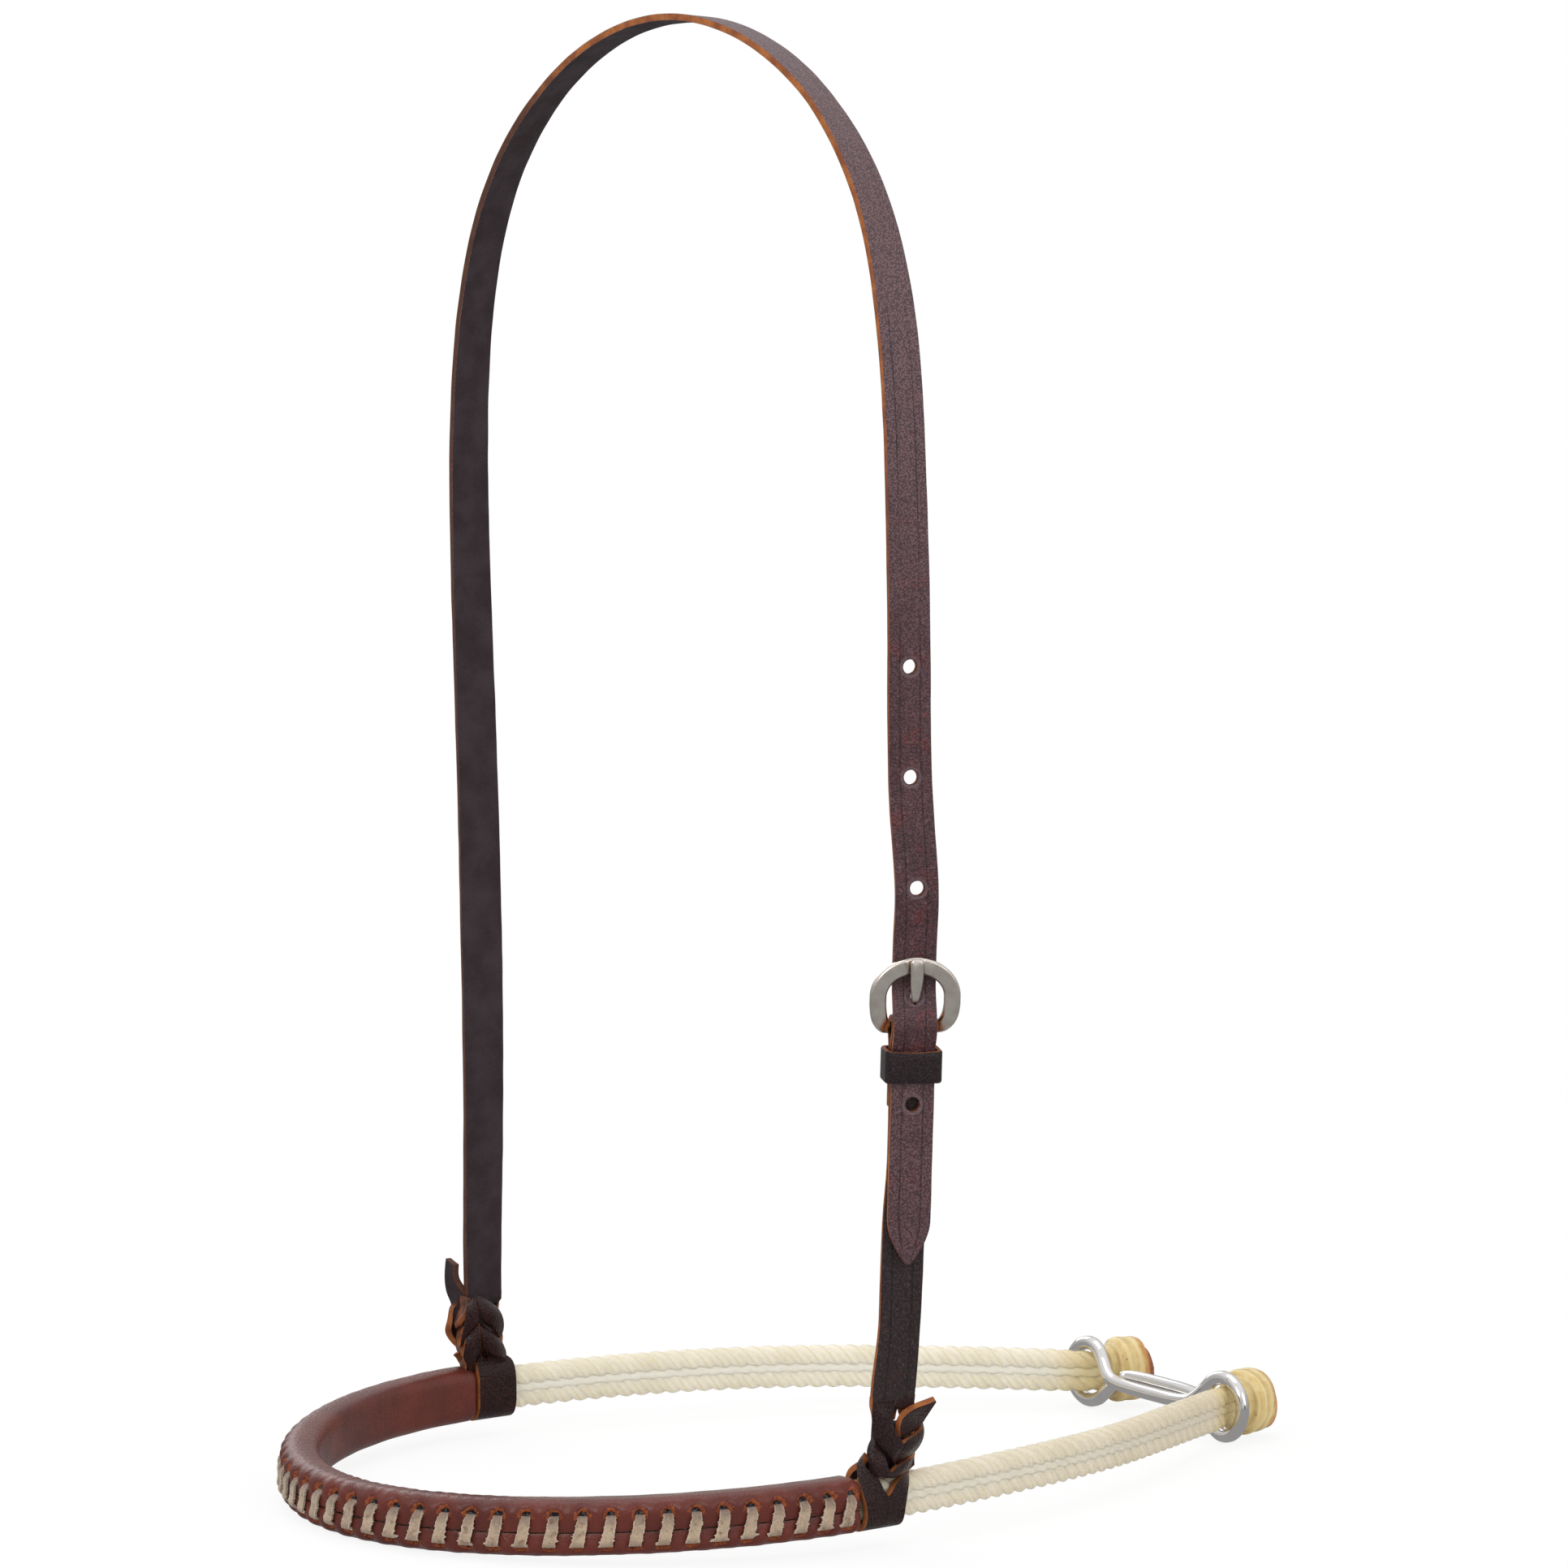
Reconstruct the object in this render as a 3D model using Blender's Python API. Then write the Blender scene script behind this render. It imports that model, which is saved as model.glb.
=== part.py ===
"""A rope noseband: two stacked ropes under a laced nose cover, a leather hanger strap
that buckles on the near side, and a wire chin link that gathers the rope ends.

Sizes are in millimetres and MM turns them into Blender's metres. X runs across the
noseband with the buckle side at +X, Y runs from the nose (0) back to the chin, Z is up.
The origin is on the flat underside of the nose cover, in the middle of the nose.
"""

import math

import bmesh
import bpy
import numpy as np
from mathutils import Matrix, Vector

MM = 0.001
COLLECTION_NAME = "rope_noseband"
CUTTER_COLLECTION_NAME = "cutters"

# Fit between pieces that touch
CLEARANCE = 0.3

# Ropes
ROPE_DIAMETER = 6.2
ROPE_SIDE_RESOLUTION = 2
BARE_ROPE_STEP = 12.5

# Plan of the noseband, one half: (half width, distance behind the nose) from nose to chin link
PLAN_POINTS = [
    (38.2, 10.2),
    (68.5, 36.0),
    (87.8, 70.8),
    (94.7, 110.0),
    (91.4, 149.9),
    (83.3, 189.0),
    (70.3, 226.8),
    (52.1, 262.4),
]
EYE_HALF_SPACING = 32.5
EYE_BEHIND_NOSE = 298.0

# Height of the rope pair's middle where the hangers hold it
HANGER_LIFT = 13.7

# Nose cover and its lace
COVER_WALL = 1.5
COVER_CORNER_RADIUS = 3.9
SEAM_GAP = 0.4
LACE_PITCH = 7.75
LACE_COUNT = 41
LACE_WIDTH = 3.2
LACE_THICKNESS = 0.8
LACE_HOLE_OFFSET = 4.5
COVER_END_MARGIN = 5.2

# Strap leather
STRAP_WIDTH = 12.4
STRAP_THICKNESS = 2.0
STRAP_EDGE_CHAMFER = 0.4
STRAP_LEAN_DEG = 1.0
STRAP_STEP = 8.0
BUCKLE_STEP = 1.9
FOLD_STEP = 1.6
FOLD_STEPS = 6
STRAIGHT_MARKS = 4

# Crown strap from the far hanger over the poll: (across, above the hanger)
CROWN_POINTS = [
    (-100.2, 24.0),
    (-100.6, 40.0),
    (-100.2, 70.0),
    (-101.2, 141.0),
    (-104.6, 214.0),
    (-107.4, 280.0),
    (-103.8, 326.0),
    (-90.5, 364.0),
    (-65.2, 393.2),
    (-34.0, 411.6),
    (0.0, 419.2),
    (35.0, 415.2),
    (67.0, 399.4),
    (89.6, 374.2),
    (102.3, 337.0),
    (106.6, 296.0),
    (108.6, 244.0),
    (110.4, 200.0),
]
CROWN_TWISTS_DEG = [0, -4, -8, -21, -12, -4, 3, 8, 9, 3, -6, -12, -16, -9, 6, 8, 18, 24]
HOLE_PITCH = 31.5
HOLE_DIAMETER = 4.2
SPARE_HOLES_ABOVE = 3
SPARE_HOLES_BELOW = 1
TONGUE_HOLE_LENGTH = 5.8
TIP_LENGTH = 12.5
TIP_SHARE = 0.12
TIP_STATIONS = (0.0, 0.4, 0.7, 0.9, 1.0)
CROWN_TIP_BELOW_BAR = 68.0

# Buckle, placed on the near side of the strap plane
BUCKLE_ACROSS = 111.5
BUCKLE_ABOVE_HANGER = 139.2
BUCKLE_LEAN_DEG = 2.0
BUCKLE_TWIST_DEG = 26.0
BAR_DIAMETER = 3.0
BAR_SET_BACK = 2.5
FRAME_WIDTH = 26.2
FRAME_HEIGHT = 22.4
RIM_WIDTH = 4.7
RIM_THICKNESS = 2.4
RIM_BEVEL = 0.6
NOTCH_DEPTH = 0.8
CROWN_BEHIND_RIM = -1.0
FRAME_WIDEST_ABOVE_BAR = 9.6
FRAME_ARC_STEPS = 8
FRAME_CORNER_STEPS = 7

# Lower corner of the frame, from the bar's end to the rim's side: share of the way across,
# height above the bar, share of the way out to the rim's face, and how far it is still a round bar
FRAME_CORNER_POINTS = [
    (0.0, 0.0, 0.0, 1.0),
    (0.27, 0.6, 0.25, 0.5),
    (0.66, 2.2, 0.62, 0.15),
    (0.9, 4.6, 0.9, 0.0),
    (1.0, 7.6, 1.0, 0.0),
]

# Tongue
TONGUE_BARREL_WALL = 1.2
TONGUE_WIDTH_AT_BAR = 3.2
TONGUE_WIDTH_IN_HOLE = 1.9
TONGUE_WIDTH_AT_RIM = 4.0
TONGUE_THICKNESS = 1.6
TONGUE_SLOT_DROP = 4.6
TONGUE_HOLE_ABOVE_BAR = 9.5
TONGUE_CREST = 0.3

# Tongue through the strap: height above the hole's middle, share of the way out to the rim's notch
TONGUE_BENDS = [
    (-3.0, -0.12),
    (-1.5, 0.02),
    (0.5, 0.36),
    (2.1, 0.7),
    (3.7, 0.96),
]

# Cheek strap
FOLD_TAIL_LENGTH = 23.0
LAYERS_CLOSE_BELOW_BAR = 5.5
CHEEK_STRAIGHT_BELOW_BAR = 38.0
CHEEK_FOOT_POINTS = [
    (107.8, 84.0),
    (106.2, 58.0),
    (104.6, 38.0),
    (102.8, 24.0),
]
CHEEK_FOOT_TWISTS_DEG = [25, 17, 10, 4]

# Keeper
KEEPER_HEIGHT = 9.4
KEEPER_WALL = 1.5
KEEPER_CORNER_RADIUS = 1.1
KEEPER_BELOW_BAR = 10.5

# Hanger wraps and knots. Tail roots and reaches are lengths along the rope, outward and up
HANGER_ALONG_ROPE = 167.6
WRAP_WIDTH = 13.8
KNOT_WIDTH = 16.6
KNOT_WAIST = 1.4
KNOT_THICKNESS = 7.6
KNOT_LOBES = 2.5
KNOT_BULGE = 0.8
KNOT_SWELL_SHARE = 0.2
KNOT_TAPER_SHARE = 0.75
KNOT_OVERLAP = 7.0
KNOT_TOP_PROUD = 1.0
KNOT_FOOT_WIDTH = 10.8
NEAR_KNOT_SHIFT = 2.2
FAR_KNOT_SHIFT = 1.2
KNOT_STATIONS = 10
KNOT_SIDES = 12
WRAP_STATIONS = 24
TAIL_WIDTH = 6.0
TAIL_THICKNESS = 2.0
NEAR_TAIL_ROOT = (1.0, 2.4, -8.0)
NEAR_TAIL_REACH = (11.0, 1.5, 9.6)
NEAR_TAIL_WIDTHS = (0.8, 1.0, 0.8, 0.15)
FAR_TAIL_ROOT = (3.0, 2.2, -9.0)
FAR_TAIL_REACH = (5.0, 3.0, 17.5)
FAR_TAIL_WIDTHS = (0.8, 1.0, 1.0, 0.6)

# Chin link
LINK_WIRE_DIAMETER = 4.2
EYE_INNER_DIAMETER = 13.5
LINK_SPREAD = 1.3
LINK_EYE_SET = 1.5
LINK_EYE_STEP_DEG = 30
LINK_SPANS = 3

# One wire from the link's middle run to its crossing: reach inward from the eye, height
LINK_NECK = [
    (13.15, -1.2),
    (6.65, -0.6),
    (2.65, 1.0),
]

# Fused rope ends
ROPE_END_HEIGHT = 19.2
ROPE_END_WIDTH = 16.0
ROPE_END_LENGTH = 18.5
ROPE_END_SHOULDER = 3.2
ROPE_END_SWELL = 0.3
ROPE_END_DOME_SHARE = 0.6
ROPE_END_DOME_STEPS = 4
ROPE_END_SIDES = 16
ROPE_PAST_EYE = 4.1

ROPE_RADIUS = ROPE_DIAMETER / 2
ROPE_SPACING = ROPE_DIAMETER + CLEARANCE
PAIR_HALF_HEIGHT = ROPE_SPACING / 2 + ROPE_RADIUS
COVER_HALF_LENGTH = (LACE_COUNT - 1) / 2 * LACE_PITCH + COVER_END_MARGIN
BORE_HALF_HEIGHT = PAIR_HALF_HEIGHT + CLEARANCE
BORE_INNER_SIDE = ROPE_RADIUS + CLEARANCE
BORE_OUTER_SIDE = ROPE_RADIUS + 2 * CLEARANCE + LACE_THICKNESS
COVER_HALF_HEIGHT = BORE_HALF_HEIGHT + COVER_WALL
EYE_WIRE_RADIUS = LINK_WIRE_DIAMETER / 2
EYE_RADIUS = EYE_INNER_DIAMETER / 2 + EYE_WIRE_RADIUS
EYE_LIFT = EYE_RADIUS + EYE_WIRE_RADIUS
WRAP_INNER = ROPE_RADIUS + CLEARANCE
LAYER_STEP = STRAP_THICKNESS + CLEARANCE
BAR_RADIUS = BAR_DIAMETER / 2
BAR_LEVEL = -BAR_SET_BACK
FOLD_RADIUS = BAR_RADIUS + CLEARANCE + STRAP_THICKNESS / 2
FRONT_LAYER = BAR_LEVEL + LAYER_STEP / 2
REAR_LAYER = FRONT_LAYER - LAYER_STEP
CROWN_LAYER = FRONT_LAYER + LAYER_STEP
CROWN_OVER_BAR = BAR_LEVEL + FOLD_RADIUS + LAYER_STEP
RIM_TOP_HEIGHT = FRAME_HEIGHT - BAR_RADIUS - RIM_WIDTH / 2
RIM_LEVEL = CROWN_BEHIND_RIM + STRAP_THICKNESS / 2 + CLEARANCE + RIM_THICKNESS / 2
NOTCH_FLOOR = RIM_LEVEL + RIM_THICKNESS / 2 - NOTCH_DEPTH

def reset_scene():
    for item in list(bpy.data.objects):
        bpy.data.objects.remove(item, do_unlink=True)
    for group in list(bpy.data.collections):
        bpy.data.collections.remove(group)


def make_collection(name):
    group = bpy.data.collections.new(name)
    bpy.context.scene.collection.children.link(group)
    return group


def make_material(name, colour, roughness, metallic=0.0):
    material = bpy.data.materials.new(name)
    material.use_nodes = True
    shader = material.node_tree.nodes["Principled BSDF"]
    shader.inputs["Base Color"].default_value = (*colour, 1.0)
    shader.inputs["Roughness"].default_value = roughness
    shader.inputs["Metallic"].default_value = metallic
    return material


def natural_spline(points, count):
    """Points at even parameter steps along a natural cubic spline through the given points."""
    knots = np.array(points, dtype=float)
    chords = np.linalg.norm(np.diff(knots, axis=0), axis=1)
    place = np.concatenate([[0.0], np.cumsum(chords)])
    size = len(knots)
    matrix = np.eye(size)
    right = np.zeros_like(knots)
    for row in range(1, size - 1):
        before = place[row] - place[row - 1]
        after = place[row + 1] - place[row]
        matrix[row, row - 1] = before
        matrix[row, row] = 2 * (before + after)
        matrix[row, row + 1] = after
        rise_after = (knots[row + 1] - knots[row]) / after
        rise_before = (knots[row] - knots[row - 1]) / before
        right[row] = 6 * (rise_after - rise_before)
    bend = np.linalg.solve(matrix, right)
    samples = []
    for value in np.linspace(0.0, place[-1], count):
        cell = min(max(int(np.searchsorted(place, value)) - 1, 0), size - 2)
        width = place[cell + 1] - place[cell]
        left = (place[cell + 1] - value) / width
        ahead = (value - place[cell]) / width
        samples.append(
            left * knots[cell]
            + ahead * knots[cell + 1]
            + ((left**3 - left) * bend[cell] + (ahead**3 - ahead) * bend[cell + 1]) * width**2 / 6
        )
    return np.array(samples)


class Route:
    """A smooth line that can be read by its length."""

    SAMPLES = 1600
    STEP = 0.6

    def __init__(self, points):
        self.line = natural_spline(points, self.SAMPLES)
        steps = np.linalg.norm(np.diff(self.line, axis=0), axis=1)
        self.reach = np.concatenate([[0.0], np.cumsum(steps)])
        self.length = self.reach[-1]

    def at(self, distance):
        columns = [np.interp(distance, self.reach, self.line[:, axis]) for axis in range(self.line.shape[1])]
        return np.array(columns)

    def tangent(self, distance):
        near = max(distance - self.STEP, 0.0)
        far = min(distance + self.STEP, self.length)
        step = self.at(far) - self.at(near)
        return step / np.linalg.norm(step)


def unit(vector):
    return vector / np.linalg.norm(vector)


class Noseband:
    """The line midway between the two ropes, read by signed length from the nose."""

    def __init__(self):
        half = PLAN_POINTS + [(EYE_HALF_SPACING, EYE_BEHIND_NOSE)]
        mirrored = [(-across, back) for across, back in reversed(half)]
        self.plan = Route(mirrored + [(0.0, 0.0)] + half)
        self.middle = self.plan.length / 2
        self.hanger_back = self.plan.at(self.middle + HANGER_ALONG_ROPE)[1]

    def lift(self, back):
        """Height of the rope pair: low at the nose and at the eyes, lifted between by the hangers."""
        heights = {0.0: COVER_HALF_HEIGHT, self.hanger_back: HANGER_LIFT, EYE_BEHIND_NOSE: EYE_LIFT}
        total = 0.0
        for place, height in heights.items():
            weight = 1.0
            for other in heights:
                if other != place:
                    weight *= (back - other) / (place - other)
            total += weight * height
        return total

    def past_eye(self, side):
        """Level direction of the rope past the eye, half way between its run and straight back."""
        run = self.plan.tangent(self.middle * (1 + side)) * side
        away = unit(run + np.array([0.0, 1.0]))
        return np.array([away[0], away[1], 0.0])

    def at(self, along):
        inside = max(-self.middle, min(along, self.middle))
        flat = self.plan.at(self.middle + inside)
        point = np.array([flat[0], flat[1], self.lift(flat[1])])
        if along != inside:
            point = point + self.past_eye(math.copysign(1.0, along)) * abs(along - inside)
        return point

    def frame(self, along):
        """Position, direction of travel, outward side and up, towards +X for positive lengths."""
        step = self.plan.STEP
        ahead = unit(self.at(along + step) - self.at(along - step))
        outward = unit(np.cross(ahead, np.array([0.0, 0.0, 1.0])))
        up = np.cross(outward, ahead)
        return self.at(along), ahead, outward, up


def place(point):
    return Vector((float(point[0]), float(point[1]), float(point[2]))) * MM


def mesh_from_rings(name, rings, closed=False):
    """A closed skin over rings of points that all have the same count."""
    builder = bmesh.new()
    rows = [[builder.verts.new(place(point)) for point in ring] for ring in rings]
    count = len(rows[0])
    spans = len(rows) if closed else len(rows) - 1
    for row in range(spans):
        first = rows[row]
        second = rows[(row + 1) % len(rows)]
        for index in range(count):
            follow = (index + 1) % count
            builder.faces.new((first[index], first[follow], second[follow], second[index]))
    if not closed:
        builder.faces.new(list(reversed(rows[0])))
        builder.faces.new(rows[-1])
    bmesh.ops.recalc_face_normals(builder, faces=builder.faces)
    mesh = bpy.data.meshes.new(name)
    builder.to_mesh(mesh)
    builder.free()
    return mesh


def add_object(name, data, group, material=None):
    item = bpy.data.objects.new(name, data)
    group.objects.link(item)
    if material is not None:
        data.materials.append(material)
    return item


def smooth(item, angle_deg=35.0):
    item.data.shade_smooth()
    item.data.set_sharp_from_angle(angle=math.radians(angle_deg))


def add_cutter(name, mesh, group):
    cutter = add_object(name, mesh, group)
    cutter.hide_render = True
    cutter.display_type = "WIRE"
    return cutter


def combine(item, other, operation):
    modifier = item.modifiers.new(other.name, "BOOLEAN")
    modifier.operation = operation
    modifier.solver = "EXACT"
    modifier.object = other


def box_mesh(name, centre, axes, sizes):
    """A box with its own axes, given as its centre, three directions and three full sizes."""
    builder = bmesh.new()
    bmesh.ops.create_cube(builder, size=1.0)
    matrix = Matrix.Identity(4)
    for column in range(3):
        for row in range(3):
            matrix[row][column] = float(axes[column][row]) * sizes[column] * MM
    matrix.translation = place(centre)
    bmesh.ops.transform(builder, matrix=matrix, verts=builder.verts)
    bmesh.ops.recalc_face_normals(builder, faces=builder.faces)
    mesh = bpy.data.meshes.new(name)
    builder.to_mesh(mesh)
    builder.free()
    return mesh


def peg_mesh(name, centre, axis, across, diameter, length, stretch=0.0, sides=16):
    """A round peg along axis, drawn out by stretch in the direction across both ways."""
    side = unit(np.cross(axis, across))
    rings = []
    for end in (-0.5, 0.5):
        ring = []
        for index in range(sides):
            angle = 2 * math.pi * (index + 0.5) / sides
            shift = stretch / 2 if math.cos(angle) > 0 else -stretch / 2
            reach = across * (math.cos(angle) * diameter / 2 + shift)
            ring.append(centre + axis * length * end + reach + side * math.sin(angle) * diameter / 2)
        rings.append(ring)
    return mesh_from_rings(name, rings)


def tube_curve(name, points, radius, resolution, closed=False):
    """A round wire through the points, capped at its ends unless it closes on itself."""
    curve = bpy.data.curves.new(name, "CURVE")
    curve.dimensions = "3D"
    curve.bevel_depth = radius * MM
    curve.bevel_resolution = resolution
    curve.use_fill_caps = not closed
    spline = curve.splines.new("POLY")
    spline.points.add(len(points) - 1)
    spline.use_cyclic_u = closed
    for handle, point in zip(spline.points, points):
        handle.co = (*place(point), 1.0)
    return curve


def set_origin(item, point):
    """Moves an object's origin to a point and leaves its shape where it is."""
    item.data.transform(Matrix.Translation(-place(point)))
    item.location = place(point)


def superellipse(half_width, half_thickness, sides, power=0.75):
    """Points round a soft-cornered section, as pairs across the width and the thickness."""
    points = []
    for index in range(sides):
        angle = 2 * math.pi * (index + 0.5) / sides
        wide = math.copysign(abs(math.cos(angle)) ** power, math.cos(angle))
        thick = math.copysign(abs(math.sin(angle)) ** power, math.sin(angle))
        points.append((half_width * wide, half_thickness * thick))
    return points


def strap_section(width, thickness):
    """The strap's cut: a flat rectangle with its four edges taken off."""
    half_width = width / 2
    half = thickness / 2
    cut = min(STRAP_EDGE_CHAMFER, half_width / 3)
    return [
        (half_width - cut, -half),
        (half_width, -half + cut),
        (half_width, half - cut),
        (half_width - cut, half),
        (-half_width + cut, half),
        (-half_width, half - cut),
        (-half_width, -half + cut),
        (-half_width + cut, -half),
    ]


def ring_at(centre, side, face, section):
    return [centre + side * across + face * through for across, through in section]


class Ribbon:
    """A flat strap's middle line with the direction of its width at every length."""

    def __init__(self, points, sides):
        self.route = Route(points)
        self.marks = [self.distance_near(point) for point in points]
        self.sides = np.array(sides)

    def distance_near(self, point):
        gaps = np.linalg.norm(self.route.line - np.array(point), axis=1)
        return float(self.route.reach[int(np.argmin(gaps))])

    def frame(self, distance):
        """Middle, direction of travel, width direction and face direction."""
        ahead = self.route.tangent(distance)
        side = np.array([np.interp(distance, self.marks, self.sides[:, axis]) for axis in range(3)])
        side = unit(side - ahead * np.dot(side, ahead))
        return self.route.at(distance), ahead, side, np.cross(ahead, side)


class StrapPlane:
    """The nearly upright plane in which the hanger strap hangs, read across and up from the hangers."""

    def __init__(self, noseband):
        lean = math.radians(STRAP_LEAN_DEG)
        self.base = np.array([0.0, noseband.hanger_back, HANGER_LIFT])
        self.across = np.array([1.0, 0.0, 0.0])
        self.rise = np.array([0.0, -math.sin(lean), math.cos(lean)])
        self.normal = np.cross(self.rise, self.across)

    def at(self, across, height):
        return self.base + self.across * across + self.rise * height

    def twisted_sides(self, points, twists):
        """Width directions for a strap through the points, turned about its run by each twist."""
        route = Route(points)
        sides = []
        for point, twist in zip(points, twists):
            gaps = np.linalg.norm(route.line - point, axis=1)
            ahead = route.tangent(float(route.reach[int(np.argmin(gaps))]))
            outward = np.cross(ahead, self.normal)
            angle = math.radians(twist)
            sides.append(self.normal * math.cos(angle) + outward * math.sin(angle))
        return sides


class BuckleSeat:
    """The buckle's own axes: up the strap, across it, and out from its face."""

    def __init__(self, plane):
        lean = math.radians(BUCKLE_LEAN_DEG)
        twist = math.radians(BUCKLE_TWIST_DEG)
        self.rise = plane.rise * math.cos(lean) + plane.across * math.sin(lean)
        outward = np.cross(-self.rise, plane.normal)
        self.side = plane.normal * math.cos(twist) + outward * math.sin(twist)
        self.face = outward * math.cos(twist) - plane.normal * math.sin(twist)
        self.base = plane.at(BUCKLE_ACROSS, BUCKLE_ABOVE_HANGER)
        self.bar = self.at(0.0, BAR_LEVEL)

    def at(self, height, out, side=0.0):
        return self.base + self.rise * height + self.face * out + self.side * side


def even_steps(start, stop, step):
    count = max(1, round((stop - start) / step))
    return [start + (stop - start) * index / count for index in range(count)]


def covered_half():
    """Lengths from the nose to the cover's end, half way between the laces."""
    return [(index + 0.5) * LACE_PITCH for index in range(LACE_COUNT // 2)] + [COVER_HALF_LENGTH]


def mirrored_steps(half):
    return [-value for value in reversed(half)] + half


def make_rope(name, noseband, offset, group, material):
    """One rope, above or below the noseband's middle line, up to the fused ends."""
    bare = even_steps(COVER_HALF_LENGTH, noseband.middle, BARE_ROPE_STEP)
    half = covered_half() + bare[1:] + [noseband.middle, noseband.middle + ROPE_PAST_EYE]
    points = []
    for along in mirrored_steps(half):
        middle, _, _, up = noseband.frame(along)
        points.append(middle + up * offset)
    curve = tube_curve(name, points, ROPE_RADIUS, ROPE_SIDE_RESOLUTION)
    return add_object(name, curve, group, material)


def make_rope_end(name, noseband, side, group, material):
    """The knob of rope that was melted behind the link's eye, oval and domed."""
    middle = noseband.at(side * noseband.middle)
    away = noseband.past_eye(side)
    up = np.array([0.0, 0.0, 1.0])
    across = np.cross(away, up)
    start = ROPE_PAST_EYE + CLEARANCE
    finish = EYE_WIRE_RADIUS + ROPE_END_LENGTH
    half_width = ROPE_END_WIDTH / 2
    half_height = ROPE_END_HEIGHT / 2
    shoulder = start + ROPE_END_SHOULDER
    dome = finish - half_width * ROPE_END_DOME_SHARE
    swollen = (half_width + ROPE_END_SWELL, half_height + ROPE_END_SWELL)
    stations = [(start, ROPE_RADIUS + CLEARANCE, PAIR_HALF_HEIGHT), (shoulder, half_width, half_height)]
    stations.append(((shoulder + dome) / 2, *swollen))
    for step in range(ROPE_END_DOME_STEPS):
        angle = math.pi / 2 * step / ROPE_END_DOME_STEPS
        shrink = math.sqrt(math.cos(angle))
        reach = dome + (finish - dome) * math.sin(angle)
        stations.append((reach, half_width * shrink, half_height * shrink))
    rings = []
    for distance, wide, tall in stations:
        section = superellipse(wide, tall, ROPE_END_SIDES)
        rings.append(ring_at(middle + away * distance, across, up, section))
    item = add_object(name, mesh_from_rings(name, rings), group, material)
    smooth(item)
    return item


def rounded_outline(inner_side, outer_side, half_height, radius, steps, seam):
    """One open outline from the upper lip of the seam round to its lower lip."""
    outline = [(outer_side, seam)]
    corners = [
        (outer_side - radius, half_height - radius, 0.0),
        (-inner_side + radius, half_height - radius, 90.0),
        (-inner_side + radius, -half_height + radius, 180.0),
        (outer_side - radius, -half_height + radius, 270.0),
    ]
    for centre_out, centre_up, begin in corners:
        for step in range(steps + 1):
            angle = math.radians(begin + 90.0 * step / steps)
            outline.append((centre_out + radius * math.cos(angle), centre_up + radius * math.sin(angle)))
    outline.append((outer_side, -seam))
    return outline


def make_nose_cover(noseband, group, cutters, material):
    """The leather sleeve round both ropes, its edges butted along the outer face."""
    seam = SEAM_GAP / 2
    outer = rounded_outline(
        BORE_INNER_SIDE + COVER_WALL,
        BORE_OUTER_SIDE + COVER_WALL,
        COVER_HALF_HEIGHT,
        COVER_CORNER_RADIUS,
        3,
        seam,
    )
    inner = rounded_outline(
        BORE_INNER_SIDE, BORE_OUTER_SIDE, BORE_HALF_HEIGHT, COVER_CORNER_RADIUS - COVER_WALL, 2, seam
    )
    section = outer + list(reversed(inner))
    rings = []
    for along in mirrored_steps(covered_half()):
        middle, _, outward, up = noseband.frame(along)
        rings.append(ring_at(middle, outward, up, section))
    cover = add_object("nose_cover", mesh_from_rings("nose_cover", rings), group, material)
    punch = bmesh.new()
    hole_sizes = (LACE_WIDTH + 2 * CLEARANCE, LACE_THICKNESS + 2 * CLEARANCE, COVER_CORNER_RADIUS)
    for along in lace_places():
        middle, ahead, outward, up = noseband.frame(along)
        for row in (-1, 1):
            centre = middle + up * LACE_HOLE_OFFSET * row + outward * (BORE_OUTER_SIDE + COVER_WALL / 2)
            hole = box_mesh("lace_hole", centre, (ahead, up, outward), hole_sizes)
            punch.from_mesh(hole)
            bpy.data.meshes.remove(hole)
    mesh = bpy.data.meshes.new("lace_holes")
    punch.to_mesh(mesh)
    punch.free()
    combine(cover, add_cutter("lace_holes", mesh, cutters), "DIFFERENCE")
    smooth(cover)
    return cover


def lace_places():
    return [(index - (LACE_COUNT - 1) / 2) * LACE_PITCH for index in range(LACE_COUNT)]


def make_lace(noseband, group, material):
    """One long lace: down across the seam outside, then aslant to the next pair of holes inside."""
    half = LACE_THICKNESS / 2
    outside = BORE_OUTER_SIDE + COVER_WALL + CLEARANCE + half
    inside = BORE_OUTER_SIDE - CLEARANCE - half
    hole = LACE_HOLE_OFFSET
    corners = [
        ((hole + half, inside - half), (hole - half, inside + half)),
        ((hole + half, outside + half), (hole - half, outside - half)),
        ((-hole - half, outside + half), (-hole + half, outside - half)),
        ((-hole - half, inside - half), (-hole + half, inside + half)),
    ]
    rings = []
    for along in lace_places():
        edges = [noseband.frame(along + shift) for shift in (-LACE_WIDTH / 2, LACE_WIDTH / 2)]
        for far_side, near_side in corners:
            ring = []
            for (height, out), order in ((far_side, edges), (near_side, list(reversed(edges)))):
                for middle, _, outward, up in order:
                    ring.append(middle + up * height + outward * out)
            rings.append(ring)
    return add_object("cover_lace", mesh_from_rings("cover_lace", rings), group, material)


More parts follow.
